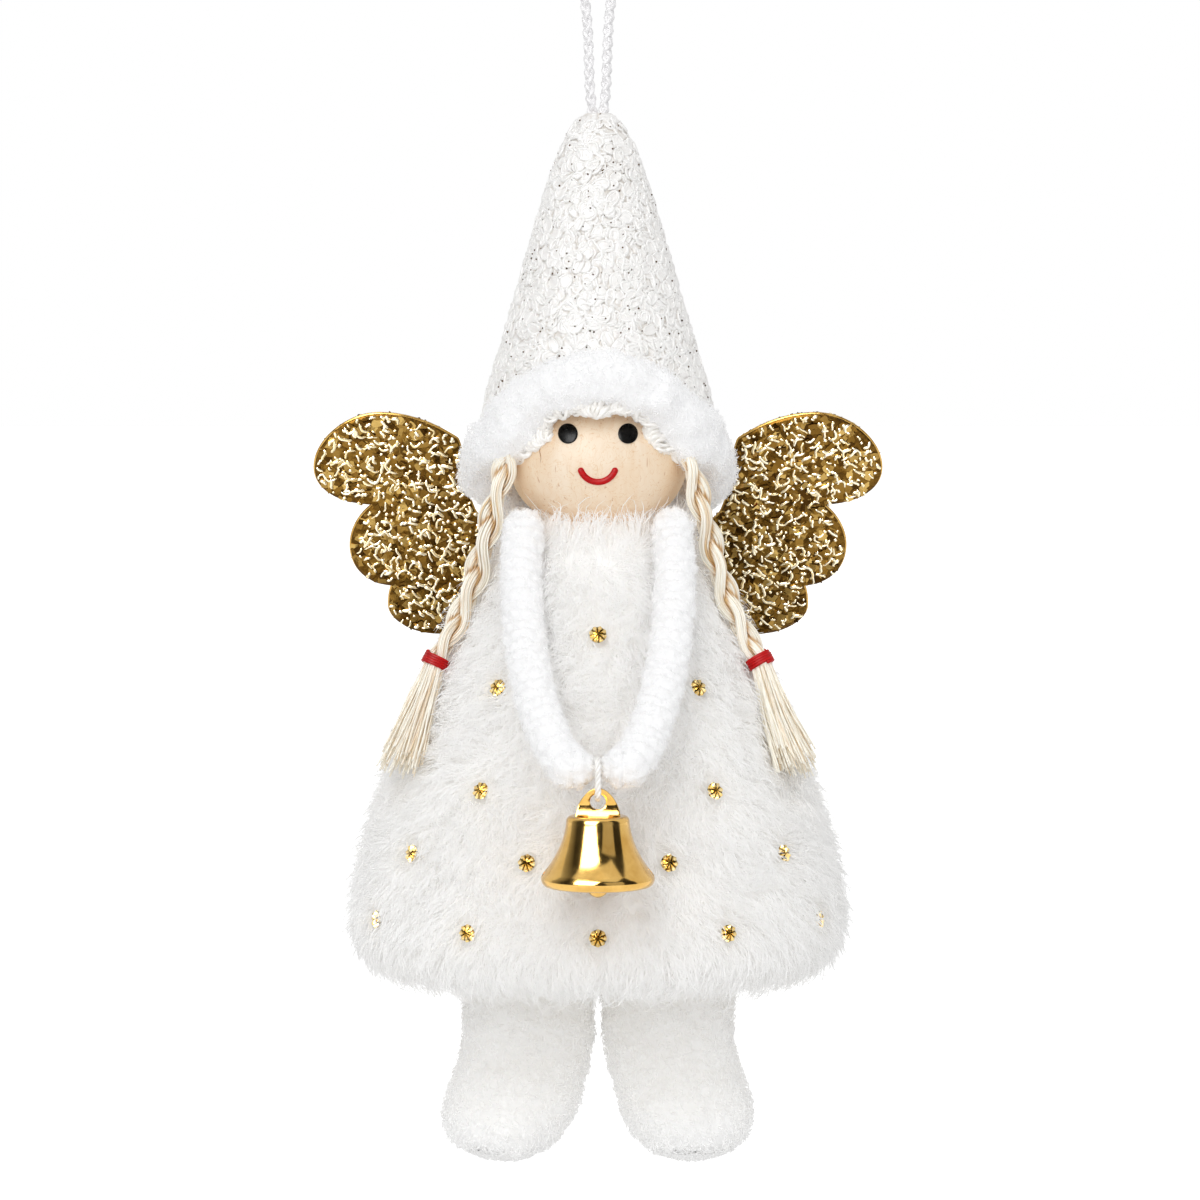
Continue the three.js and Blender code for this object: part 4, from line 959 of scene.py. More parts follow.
def grain_check():
    """A fine open crack in the wood beside one eye."""
    low, high, aside, deep, steps = 100.2, 105.9, -11.3, 0.03, 12
    z = np.linspace(low, high, steps)
    line = face_point(aside + 0.12 * np.sin(2 * z), z, -deep)
    build("grain_check", tubes(line, 0.11 * np.sin(np.linspace(0.15, 2.99, steps)), 6), "check")


# hat
def petal(rng):
    """An outline for one embossed petal: its reach at each bearing from its middle."""
    long, wide = rng.uniform(1.3, 2.3), rng.uniform(0.85, 1.5)
    point, notch = rng.uniform(-0.12, 0.3), rng.uniform(-0.1, 0.22)

    def reach(bearing):
        oval = long * wide / np.sqrt((wide * np.cos(bearing)) ** 2 + (long * np.sin(bearing)) ** 2)
        return oval * (1 + point * np.cos(bearing) ** 3 - notch * np.cos(2 * bearing) ** 2)

    return reach


class Hat:
    """Embossed cloth on a grid of rows from the tip down and columns round the hat."""

    rows, columns = 290, 600
    top, crowding, tuck, sunk = 0.012, 1.25, 1.0, 0.5
    outline_steps, pipe_points = 48, 17

    def __init__(self):
        self.rng = np.random.default_rng(21)
        self.a = turns(self.columns)
        t = np.linspace(self.top, 1, self.rows)[:, None]
        self.z = HAT_TIP_Z - t**self.crowding * (HAT_TIP_Z - (trim_height(self.a)[None] - self.tuck))
        slack = self.sunk + 1.3 * np.sin(np.pi * np.clip((HAT_TIP_Z - self.z - 5) / 50, 0, 1))
        radius = hat_radius(self.z)
        self.base = polar(radius - slack, self.a[None], self.z)
        run = unit(np.stack([np.gradient(radius, axis=0), np.gradient(self.z, axis=0)], -1))
        self.out = polar(-run[..., 1], self.a[None], run[..., 0])
        self.down = polar(run[..., 0], self.a[None], run[..., 1])
        area = np.cumsum(radius[:, 0] * np.linalg.norm(np.gradient(self.base[:, 0], axis=0), axis=1))
        self.area = area / area[-1]
        self.relief = 0.1 + lumps(self.base, (0.1, 3.5, 31))
        self.owner = np.full((self.rows, self.columns), -1)
        self.outlines, self.lines = [], []
        self.petals()
        self.surface = self.base + self.out * (self.relief * smooth(t / 0.04))[..., None]

    def spot(self):
        """A random row and column, even over the cloth."""
        return int(np.searchsorted(self.area, self.rng.random())), int(self.rng.integers(self.columns))

    def cell(self, x, y, row, column):
        """Row and column of a point x round the hat and y down it from a grid point."""
        height = self.z[row, column] + y * self.down[row, column, 2]
        turn = self.a[column] + x / (hat_radius(height) - self.sunk)
        deep = np.clip((HAT_TIP_Z - height) / (HAT_TIP_Z - trim_height(turn) + self.tuck), 0, 1)
        deep = (deep ** (1 / self.crowding) - self.top) / (1 - self.top)
        at_row = np.clip(np.rint(deep * (self.rows - 1)), 0, self.rows - 1)
        return at_row.astype(int), np.rint(turn / TURN * self.columns).astype(int) % self.columns

    def emboss(self, row, column, aim):
        """Lays one petal over what is there already."""
        reach = petal(self.rng)
        span = int(4.0 / (hat_radius(self.z[row, column]) + 0.5) / TURN * self.columns) + 1
        span = min(self.columns // 2 - 1, span)
        beside = np.nonzero(np.abs(self.z[:, column] - self.z[row, column]) < 3.8)[0]
        grid = np.ix_(beside, np.arange(column - span, column + span + 1) % self.columns)
        away = self.base[grid] - self.base[row, column]
        x = away @ np.array([math.cos(self.a[column]), math.sin(self.a[column]), 0])
        y = away @ self.down[row, column]
        facing = (self.out[grid] @ self.out[row, column]) > 0.2
        bearing = np.arctan2(y, x) - aim
        share = np.hypot(x, y) / reach(bearing)
        tall = self.rng.uniform(0.28, 0.48)
        tip = 0.16 * share * np.cos(bearing - self.rng.uniform(0, 6))
        vein = 0.12 * np.exp(-(((y * math.cos(aim) - x * math.sin(aim)) / 0.25) ** 2))
        pillow = tall * (1 - 0.45 * np.clip(share, 0, 1) ** 3) + tip - vein
        inner, rim = (share < 1) & facing, (share >= 1) & (share < 1.25) & facing
        height = self.relief[grid]
        # a groove round the petal's edge; its low relief also takes the painted shade of hat_look
        height = np.where(rim, np.maximum(height - 1.2 * (1.25 - share), -0.15), height)
        self.relief[grid] = np.where(inner, pillow, height)
        self.owner[grid] = np.where(inner, len(self.outlines), self.owner[grid])
        self.outlines.append((row, column, reach, aim))

    def petals(self, tiers=36, pace=2.3, flowers=330, flower_r=1.5):
        """Petals all over, and flowers of three to five petals on top of them."""
        rng = self.rng
        seats = []
        for row in np.searchsorted(self.area, (np.arange(tiers) + 0.5) / tiers):
            count = max(3, hat_radius(self.z[row, 0]) * TURN / pace)
            seats += [(row, column) for column in np.arange(0, self.columns, self.columns / count)]
        for i in rng.permutation(len(seats)):
            row, column = seats[i]
            row = int(np.clip(row + rng.integers(-3, 4), 0, self.rows - 1))
            self.emboss(row, int(column + rng.integers(-4, 5)) % self.columns, rng.random() * TURN)
        for _ in range(flowers):
            middle = self.spot()
            turn, leaves = rng.random() * TURN, int(rng.integers(3, 6))
            for leaf in range(leaves):
                aim = turn + TURN * leaf / leaves + rng.normal(0, 0.25)
                row, column = self.cell(flower_r * math.cos(aim), flower_r * math.sin(aim), *middle)
                self.emboss(int(row), int(column), aim)

    def pipe(self, at_row, at_column):
        """Keeps a line for the piping, if it is clear of the tip and the edge."""
        if at_row.max() < self.rows - 4 and at_row.min() > 4:
            line = self.surface[at_row, at_column] + 0.07 * self.out[at_row, at_column]
            self.lines.append(even(line, self.pipe_points))

    def edge_lines(self):
        """The longest stretch of each petal's edge that no later petal covers."""
        steps = self.outline_steps
        ring = turns(steps)
        for number, (row, column, reach, aim) in enumerate(self.outlines):
            x, y = reach(ring) * np.cos(ring + aim), reach(ring) * np.sin(ring + aim)
            shown = self.owner[self.cell(0.82 * x, 0.82 * y, row, column)] == number
            start = 0 if shown.all() else int(np.argmin(shown))
            order = (np.arange(steps) + start) % steps
            runs = np.split(order, np.nonzero(~shown[order])[0])
            best = max((run[shown[run]] for run in runs), key=len)
            if len(best) > 8:
                self.pipe(*self.cell(0.95 * x[best], 0.95 * y[best], row, column))

    def ribbons(self, count=1000):
        """Free wavy lines."""
        s = np.linspace(-1, 1, 40)
        for _ in range(count):
            row, column = self.spot()
            half, bend = self.rng.uniform(1.0, 3.2), self.rng.uniform(-2.4, 2.4)
            aim = self.rng.uniform(0, TURN)
            heading = aim + bend * s + 0.6 * np.sin(3 * s + aim)
            x, y = (np.cumsum(f(heading)) * half / 20 for f in (np.cos, np.sin))
            self.pipe(*self.cell(x, y, row, column))

    def piping(self, most=1700):
        rng = self.rng
        self.edge_lines()
        self.lines = [self.lines[i] for i in rng.permutation(len(self.lines))[:most]]
        self.ribbons()
        paths = np.stack(self.lines)
        for _ in range(2):
            paths[:, 1:-1] = (paths[:, :-2] + 2 * paths[:, 1:-1] + paths[:, 2:]) / 4
        width = 0.45 + 0.55 * np.sin(np.linspace(0.12, 3.02, self.pipe_points)) ** 0.5
        radii = rng.uniform(0.22, 0.35, (len(paths), 1)) * width
        build("hat_piping", tubes(paths, radii, 6, tone=rng.random(len(paths))), "piping")

    def cloth(self):
        # the relief also sets the painted shade in the hollows of hat_look
        relief = np.append(self.relief.ravel(), [0.3, 0.3])
        geo = loft(self.surface)
        piece = build("hat_cloth", geo, "hat", ["hat", "hat_filling"], values={"relief": relief})

    def dots(self, count=560, radius=0.17):
        ball = loft(radius * globe(np.linspace(0.3, 2.84, 6), turns(8)))
        beads = []
        for _ in range(count):
            at = self.spot()
            centre = self.surface[at] + 0.1 * self.out[at]
            beads.append(Geo(ball.points * self.rng.uniform(0.8, 1.25) + centre, ball.faces))
        build("hat_dots", merged(*beads), "dot")


def hat():
    made = Hat()
    made.piping()
    made.cloth()
    made.dots()


# pile
def leaning(out, rng):
    """A random direction along the surface at each place."""
    return unit(np.cross(out, unit(rng.normal(size=(len(out), 3)))))


def fuzz(geo, count, seed, length, radius, lay, keep=None):
    """Short curved fibres over a surface: lay is how far they lean, from 0 upright."""
    rng = np.random.default_rng(seed)
    at, out = geo.scatter(count, rng)
    if keep is not None:
        good = keep(at)
        at, out = at[good], out[good]
    n = len(at)
    lean = leaning(out, rng)
    bend = unit(np.cross(out, lean))
    size = (length * rng.uniform(0.6, 1.3, n))[:, None] / 3
    turn = rng.normal(0, 0.7, n)
    paths = np.empty((n, 4, 3))
    paths[:, 0] = at - 0.15 * out
    for j, tilt in enumerate((0.45, 0.9, 1.25)):
        way = circle(turn * j, lean, bend)
        paths[:, j + 1] = paths[:, j] + size * circle(tilt * lay, out, way)
    radii = radius * rng.uniform(0.7, 1.2, n)[:, None] * np.array([1, 0.95, 0.8, 0.5])
    return tubes(paths, radii, 3, True, tone=rng.random(n))


def loops(at, out, rng, size, radius, sides):
    """Small open curls of yarn standing on a surface."""
    n = len(at)
    lean = leaning(out, rng)
    bend = np.cross(out, lean)
    wide = (size * rng.uniform(0.7, 1.25, n))[:, None]
    paths = [
        at + wide * (lean * math.cos(x) + out * (0.9 * math.sin(x) + 0.1) + bend * 0.35 * math.sin(2 * x))
        for x in np.linspace(-0.2, 1.2, 11) * np.pi
    ]
    radii = radius * rng.uniform(0.75, 1.2, (n, 1))
    return tubes(np.stack(paths, 1), radii, sides, tone=rng.random(n))


# trim
def trim():
    """The fluffy roll, which sags over the plaits and swells over the brow."""
    az, a = turns(320)[:, None], turns(64)[None]
    over, under = np.maximum(np.sin(a), 0), np.maximum(-np.sin(a), 0)
    beside = np.abs(np.angle(np.exp(1j * az)))
    sag = 3.9 * np.exp(-(((beside - 0.97) / 0.34) ** 2)) * under**1.3
    brow = np.exp(-((beside / 0.75) ** 2)) * (1.7 * over - 0.6 * under)
    geo = loft(trim_point(az, a, TRIM_R - 0.8 + sag + brow), True)
    geo.swell(lumps(geo.points, (0.75, 3.4, 41), (0.4, 1.7, 42), (0.15, 0.8, 43)))
    geo.points = off_head(geo.points, 0.15)
    build("hat_trim_roll", geo, "plush", ["hat_trim"])

    def free(at):
        return (head_depth(at, 0.6) > 1) & (np.linalg.norm(at[:, :2], axis=1) > 9)

    fibres = fuzz(geo, 16000, 44, 1.6, 0.085, 1.25, free)
    build("hat_trim_fuzz", fibres, "plush_fibre", flat=True)


def frill(count=380):
    """Gathered loops along the edge of the trim that is seen beside the face."""
    rng = np.random.default_rng(45)
    sweep = np.radians(rng.uniform(-78, 78, count))
    step = trim_point(sweep + 0.01) - trim_point(sweep - 0.01)
    inward = unit(np.stack([step[:, 2], 0 * sweep, -step[:, 0]], -1))
    middle = trim_point(sweep)
    inward = np.where(((HEAD_AT - middle) * inward).sum(-1, keepdims=True) > 0, inward, -inward)
    aside = np.abs(sweep)
    reach = TRIM_R - 0.9 - 1.3 * smooth((aside - 0.1) / 0.25) + 4.0 * smooth((aside - 0.62) / 0.25)
    reach = reach + rng.uniform(-0.8, 0.6, count)
    at = middle + inward * reach[:, None] + np.array([0, -1, 0]) * rng.uniform(0.2, 1.6, count)[:, None]
    curls = loops(off_head(at, 0.5), unit(inward - (0, 0.9, 0)), rng, 1.3, 0.36, 8)
    build("hat_trim_frill", curls, "frill")


# arms
def hands_apart(at):
    """False where the two hands press on each other."""
    reach, top = 0.95, 47.4
    return (np.abs(at[:, 0]) > reach) | (at[:, 2] > top)


def arms(steps=230, sides=72, pitch=2.5, lobes=8):
    """Rolls of curly pile in staggered tufts."""
    for name, s in SIDES.items():
        path = arm_path(s, 110)[0]
        line = even(path[path[:, 2] < 87.6], steps)
        line[:, 0] -= s * 0.3 * smooth((np.arange(steps) / steps - 0.9) / 0.1)
        line, radii = round_ends(line, 3.7, 10)
        geo = tubes(line, np.maximum(radii, 0.3), sides)
        geo.uv = None
        soft = noise(geo.points, 3.0, 52)
        row = np.repeat(lengths(line), sides) / pitch + 0.3 * soft
        turn = np.tile(np.arange(sides) / sides, len(line)) * lobes + 0.5 * np.floor(row)
        turn = turn + lumps(geo.points, (0.2, 2.0, 51))
        tuft = np.sin(np.pi * (row % 1)) ** 0.7 * (0.55 + 0.45 * np.abs(np.sin(np.pi * turn)))
        geo.swell(0.95 * tuft - 0.45 + 0.25 * soft + lumps(geo.points, (0.12, 0.8, 53)))
        build(f"{name}_arm_roll", geo, "plush", [f"{name}_arm"])
        fibres = fuzz(geo, 8000, 54 + s, 0.9, 0.075, 1.1, hands_apart)
        build(f"{name}_arm_fuzz", fibres, "plush_fibre", flat=True)


# threads and bell
def bell_point(y, z):
    """Points in the plane across the bell's middle, y behind its axis."""
    return np.stack([0 * y, BELL_Y + y, z], -1)


def hand_stitch():
    half = 3.2
    x = half * np.linspace(-1, 1, 90)
    stitch = np.stack([x, 0 * x + BELL_Y, 0 * x + STITCH_Z], -1)
    build("hand_stitch_thread", twist(stitch, 2, 0.27, 0.24, 1.6), "thread", ["hand_stitch"])


def bell_thread():
    """A closed loop over the stitch and through the tab's hole."""
    a = np.concatenate([np.linspace(0, np.pi, 40), np.linspace(np.pi, TURN, 40)])
    middle = np.repeat([STITCH_Z, STITCH_Z - THREAD_DROP], 40)
    ring = bell_point(THREAD_BEND * np.cos(a), middle + THREAD_BEND * np.sin(a))
    ring = even(np.vstack([ring, ring[:1]]), 161)[:-1]
    loop = twist(ring, 3, 0.31, 0.34, 3.4, True)
    build("bell_thread_loop", loop, "thread", ["bell_thread"], "bell_loop")


def bell_cup():
    lip_r, wall, edge_r, on_axis = 1.45, 0.8, 1, 0.02
    wall_top, wall_foot = CROWN_Z - edge_r, MOUTH_Z + 2.45
    w = np.linspace(0, 1, 60)
    wall_r = CROWN_R + (BELL_R - 0.35 - CROWN_R) * (0.17 * w + 0.83 * w**2)
    outer = np.stack([wall_r, wall_top - (wall_top - wall_foot) * w], -1)
    corner = np.linspace(0, np.pi / 2, 14)[:-1]
    crown = np.stack([CROWN_R - edge_r + np.sin(corner), wall_top + np.cos(corner)], -1)
    bead = np.linspace(0.62, -np.pi * 0.75, 26)
    lip = np.stack([BELL_R - lip_r + lip_r * np.cos(bead), MOUTH_Z + lip_r + lip_r * np.sin(bead)], -1)
    inner = (outer - (wall, 0))[6:-2][::-1]
    roof = [[CROWN_R - edge_r - wall, CROWN_Z - wall], [on_axis, CROWN_Z - wall]]
    profile = np.vstack([[[on_axis, CROWN_Z]], crown, outer[1:-1], lip, inner, roof])
    build("bell_cup", lathe(profile, 128, (0, BELL_Y)), "bell", ["bell_shell"], "bell")


def bow(start, pull, end, count=14):
    """Points of a curve from start towards end, which isn't among them."""
    s = np.linspace(0, 1, count, endpoint=False)[:, None]
    return (1 - s) ** 2 * np.array(start) + 2 * s * (1 - s) * np.array(pull) + s**2 * np.array(end)


def bell_tab():
    """A bent tab with a hole for the thread and, inside the bell, one for the clapper."""
    half_w, foot, tail, thick = 4.3, CROWN_Z - 0.15, 1.7, 0.9
    top_r = 2.6
    top = TAB_HOLE_Z + top_r
    shoulder = (top_r * 0.75, top - top_r * 0.3)
    right = np.vstack([
        bow((half_w, foot), (half_w - 0.4, TAB_HOLE_Z), shoulder),
        bow(shoulder, (top_r * 0.4, top), (0, top)),
    ])
    left = np.vstack([[[0, top]], right[::-1] * (-1, 1)])
    arc = np.linspace(np.pi, TURN, 20)
    bottom = np.stack([tail * np.cos(arc), CLAPPER_EYE_Z + tail * np.sin(arc)], -1)
    outline = np.vstack([right, left, [[-tail, foot]], bottom, [[tail, foot]]])
    a = turns(40)
    holes = [
        np.stack([radius * np.cos(a), z + radius * np.sin(a)], -1)
        for z, radius in ((TAB_HOLE_Z, 1.5), (CLAPPER_EYE_Z, 0.9))
    ]
    heights = np.linspace(foot, top, 120)
    lean = np.cumsum(0.6 - 0.86 * smooth((heights - foot - 0.2) / 3.2)) * (heights[1] - heights[0])
    lean = lean - np.interp(TAB_HOLE_Z, heights, lean)
    heights, lean = np.append([foot - 0.7], heights), np.append([0], lean)

    def face(flat, side):
        x, z = flat.T
        return np.stack([x, BELL_Y + side * thick / 2 + np.interp(z, heights, lean), z], -1)

    tab = plate(outline, holes, 0.4, face)
    piece = build("bell_tab", tab, "bell", ["bell_hanger"], "bell")
    bevel = piece.modifiers.new("edges", "BEVEL")
    bevel.width, bevel.segments = 0.16 * MM, 3
    bevel.limit_method, bevel.angle_limit = "ANGLE", math.radians(50)


def clapper():
    ring_r, wire_r, ball_r = 1.5, 0.4, 2.1
    a = turns(40)
    ring_z = CLAPPER_EYE_Z - ring_r
    link = bell_point(ring_r * np.cos(a), ring_z + ring_r * np.sin(a))
    rod_top, rod_foot = ring_z - ring_r, MOUTH_Z + 1
    rod = bell_point(np.zeros(3), np.array([rod_top, (rod_top + MOUTH_Z) / 2, rod_foot]))
    b = np.linspace(0.04, np.pi - 0.04, 30)
    ball = lathe(np.stack([ball_r * np.sin(b), MOUTH_Z + ball_r * np.cos(b)], -1), 48, (0, BELL_Y))
    parts = merged(tubes(link, wire_r, 12, looped=True), tubes(rod, wire_r, 12), ball)
    build("clapper_ball", parts, "bell", ["clapper"], "clapper")


# plaits
def plait_frame(side, count=110, hidden=8):
    """A plait's path with its hidden start, and its directions along, outward and across."""
    path = plait_path(side, count - hidden)
    start = path[0] + np.linspace(1.6, 0.2, hidden)[:, None] * unit(path[0] - path[3])
    path = np.vstack([start, path])
    run = unit(np.gradient(path, axis=0))
    outward = square(unit(path * (1, 1, 0)), run)
    return path, run, outward, np.cross(run, outward)


def plait_yarn(name, side, rng, count=26, sides=5):
    """Three strands of yarns plaited, and how deep each yarn lies between the others, for the painted shade
    in the crevices.
    """
    path, _, outward, across = plait_frame(side)
    t = np.linspace(0, 1, len(path))
    slim = (0.8 + 0.2 * np.sin(np.pi * t) ** 0.6) * (0.55 + 0.45 * smooth(t / 0.12))
    lines = []
    for k in range(3):
        turn = TURN * (1.5 * t + k / 3)
        line = path + across * (1.35 * slim * np.sin(turn))[:, None]
        lines.append(line + outward * (1.25 * slim * np.sin(2 * turn))[:, None])
    yarns, deep = [], []
    for k, centre in enumerate(lines):
        way = unit(np.gradient(centre, axis=0))
        face = square(outward, way)
        wide = np.cross(way, face)
        for i in range(count):
            a = GOLDEN_ANGLE * i + 0.5 * t + 0.12 * np.sin(7 * t + 9 * rng.random())
            reach = math.sqrt((i + 0.6) / count) * slim * (1 + 0.07 * np.sin(11 * t + 6 * rng.random()))
            yarn = centre + reach[:, None] * circle(a, 1.35 * wide, face)
            beside = [np.linalg.norm(yarn - other, axis=1) for j, other in enumerate(lines) if j != k]
            yarns.append(yarn)
            # how deep a yarn lies between the other strands, which darkens it as painted shade
            deep.append(np.repeat(smooth((2.1 * slim - np.minimum(*beside)) / 0.8), sides))
    radii = 0.23 * rng.uniform(0.75, 1.25, (len(yarns), 1))
    braid = tubes(yarns, radii, sides, tone=rng.random(len(yarns)))
    node = f"{name}_plait"
    build(f"{node}_yarn", braid, "straw", [node], node, values={"deep": np.concatenate(deep)})


def tie_thread(name, side, wraps=4.1, steps=200):
    """Red thread wound round the plait's end, with a knot and two tails at its outer side."""
    end, axis, out, across = (way[-1] for way in plait_frame(side))
    a = np.linspace(0, TURN * wraps, steps)
    coil = end + axis * np.linspace(-2.25, -0.25, steps)[:, None] + circle(a, 2.35 * out, 2.5 * across)
    far = across if across[0] * side > 0 else -across
    knot = end - 1.2 * axis + 2.7 * far
    a = turns(40)
    ring = knot + 0.55 * circle(a, out, axis) + 0.3 * far * np.sin(2 * a)[:, None]
    parts = [tubes(*round_ends(coil, 0.36), 10), tubes(ring, 0.4, 10, looped=True, tone=0.4)]
    for drop, forward in ((1.9, 0.5), (-1.1, -0.4)):
        tip = knot + 1.5 * far - drop * axis + forward * out
        tail = np.array([knot - 0.3 * far, knot + 0.7 * far - 0.5 * axis, tip])
        parts.append(tubes(*round_ends(even(tail, 14), 0.3), 10, tone=0.7))
    node = f"{name}_plait"
    build(f"{name}_tie_thread", merged(*parts), "red_thread", [f"{node}_tie"], node)


def tassel(name, side, rng, count=150, steps=24):
    """Loose ends of the plait, which spread into a brush below the tie."""
    start, foot, axis = tassel_line(side)
    start = start - 1.7 * axis
    t = np.linspace(0, 1, steps)
    way = unit(axis + (unit(foot - start) - axis) * t[:, None])
    face = square(unit(foot * (1, 1, 0)), way)
    wide = np.cross(way, face)
    strands = []
    for i in range(count):
        rho, a = math.sqrt((i + 0.5) / count), GOLDEN_ANGLE * i + rng.normal(0, 0.1)
        wave = rng.normal(0, 0.3, 4)
        x = rho * math.cos(a) * (2.0 + 4.6 * t**1.25) + wave[0] * np.sin(5 * t + 6 * wave[1]) * t
        y = rho * math.sin(a) * (2.0 + 2.0 * t**1.25) + wave[2] * np.sin(6 * t + 6 * wave[3]) * t
        y = y + 1.6 * t**1.5
        fall = (t * rng.uniform(0.84, 1.08))[:, None]
        strands.append(start + (foot - start) * fall + wide * x[:, None] + face * y[:, None])
    radii = 0.165 * rng.uniform(0.75, 1.3, (count, 1))
    brush = tubes(strands, radii, 6, tone=rng.random(count))
    build(f"{name}_tassel_yarn", brush, "straw", [f"{name}_tassel"], f"{name}_plait")


def plaits():
    for name, s in SIDES.items():
        rng = np.random.default_rng(61 + s)
        plait_yarn(name, s, rng)
        tie_thread(name, s)
        tassel(name, s, rng)


# wings
WING_OUTLINE = wing_outline(26)
WING_FRONT, WING_MIDDLE, WING_BACK = 0.6, 1.3, 2.0


def off_trim(flat):
    """True for flat wing points that stand clear of the hat's trim."""
    return near(wing_place(flat, WING_MIDDLE), trim_point(turns(240))) > TRIM_R + 1.5


def wing_face(flat, side):
    """Points of the plate's front, -1, or back, 1, with a fine grain."""
    depth, seed = (WING_FRONT, 71) if side < 0 else (WING_BACK, 72)
    return wing_place(flat, depth + lumps(raised(flat), (0.08, 0.9, seed)))


def wing_rims():
    """A rolled edge round each wing, in stretches that stop at the trim."""
    count = len(WING_OUTLINE)
    clear = off_trim(WING_OUTLINE)
    for number, half in enumerate(np.split(np.arange(count), [count // 2])):
        line = wing_place(WING_OUTLINE[half[clear[half]]], WING_MIDDLE)
        gaps = np.linalg.norm(np.diff(line, axis=0), axis=1) > 6
        for i, stretch in enumerate(np.split(line, np.nonzero(gaps)[0] + 1)):
            edge = tubes(*round_ends(even(stretch, 260), 0.32), 10)
            build(f"wing_rim_{number}_{i}", edge, "rim")


def wing_spread(rng, side, spacing, margin, low, high):
    """Places low to high over a wing's face, and how far each is from the edge."""
    x, y = np.meshgrid(np.arange(-58, 58, spacing), np.arange(-1, 53, spacing))
    flat = np.column_stack([x.ravel(), y.ravel()])
    flat = flat + rng.uniform(-0.5, 0.5, flat.shape) * spacing
    room = near(raised(flat), raised(WING_OUTLINE))
    good = inside(flat, WING_OUTLINE) & (room > margin) & off_trim(flat)
    face = WING_FRONT - 0.05 if side < 0 else WING_BACK + 0.05
    return wing_place(flat[good], face + side * rng.uniform(low, high, good.sum())), room[good]


def flakes(at, room, normal, rng):
    """Small bent leaves of foil, each a thin closed piece no longer than the room it has."""
    n = len(at)
    tilt = np.radians(np.abs(rng.normal(0, 7, n)))
    normal = np.tile(normal, (n, 1))
    up = unit(circle(tilt, normal, leaning(normal, rng)))
    ahead = leaning(up, rng)
    aside = np.cross(up, ahead)
    long = np.minimum(rng.uniform(1.5, 3.2, n), 2.0 * room)
    half = np.minimum(rng.uniform(0.5, 1.0, n), room)
    bend = np.radians(rng.uniform(6, 30, n)) * rng.choice([-1, 1, 1], n)
    phi = (np.arange(4) / 3 - 0.5) * bend[:, None]
    rho = (long / bend)[:, None]
    p = rho * np.sin(phi)
    h = rho * (np.cos(phi) - np.cos(bend / 2)[:, None])
    h -= h.min(1, keepdims=True)
    w = half[:, None] * rng.uniform(0.6, 1.15, (n, 4))
    rows = [
        at[:, None] + ahead[:, None] * p[..., None] + aside[:, None] * (sign * w)[..., None]
        + up[:, None] * (h - lower)[..., None]
        for lower in (0.0, 0.09) for sign in (1, -1)
    ]
    k = np.arange(3)
    top = np.stack([k, k + 1, k + 5, k + 4], -1)
    walls = [np.stack([k + 8, k + 9, k + 1, k], -1), np.stack([k + 4, k + 5, k + 13, k + 12], -1)]
    quads = np.vstack([top, top[:, ::-1] + 8, *walls, [[0, 4, 12, 8], [7, 3, 11, 15]]])
    quads = (quads + (np.arange(n) * 16)[:, None, None]).reshape(-1, 4)
    uv = np.column_stack([np.repeat(rng.random(n), 16), np.tile(np.linspace(0.1, 0.9, 16), n)])
    return Geo(np.stack(rows, 1).reshape(-1, 3), [quads], uv).outward()


def creases(at, room, normal, rng):
    """Raised wrinkles of foil: bent ridges and beads that catch the light along their tops, in a pale gold
    that paints the highlight too.
    """
    n = len(at)
    normal = np.tile(normal, (n, 1))
    ahead = leaning(normal, rng)
    aside = np.cross(normal, ahead)
    long = np.where(rng.random(n) < 0.35, rng.uniform(0.3, 0.7, n), rng.uniform(1.0, 3.2, n))
    long = np.minimum(long, 1.8 * room)[:, None]
    curve = rng.normal(0, 0.7, (n, 1))
    t = np.linspace(-1, 1, 11)[None]
    x = long / 2 * t
    y = curve * (1 - t**2) * long / 3 + 0.04 * long * np.sin(4 * t + 6 * rng.random((n, 1)))
    sunk = -0.2 * np.abs(t) ** 3
    paths = at[:, None] + ahead[:, None] * x[..., None] + aside[:, None] * y[..., None]
    paths = paths + normal[:, None] * sunk[..., None]
    thick = rng.uniform(0.22, 0.42, (n, 1)) * np.sqrt(np.clip(1 - (0.97 * t) ** 4, 0, 1))
    return tubes(paths, thick, 8, tone=rng.random(n))


def wings():
    backing = plate(WING_OUTLINE, [], 0.75, wing_face, off_trim)
    # the plate's dark colour is painted shade between the flakes
    build("wing_plate", backing, "plate", ["wings"])
    wing_rims()
    origin = np.zeros((1, 2))
    for name, side in (("front", -1), ("back", 1)):
        rng = np.random.default_rng(73 + side)
        normal = wing_place(origin, float(side))[0] - wing_place(origin, 0.0)[0]
        leaf = flakes(*wing_spread(rng, side, 1.4, 0.3, -0.05, 0.1), normal, rng)
        build(f"wing_flakes_{name}", leaf, "chips", flat=True)
        ridge = creases(*wing_spread(rng, side, 1.6, 0.4, 0.08, 0.2), normal, rng)
        build(f"wing_creases_{name}", ridge, "crease")


# legs
ANKLE_H, FOOT_RISE, FOOT_ASIDE = 26, 22, 4.9
SEAM_H, TUCK_H, TUCK = 3.05, 0.8, 1.5
LEG_SIDES = 120


def foot_share(h):
    """Nought at the ankle and one at the foot, which turns out and forward."""
    return smooth((ANKLE_H - h) / FOOT_RISE)


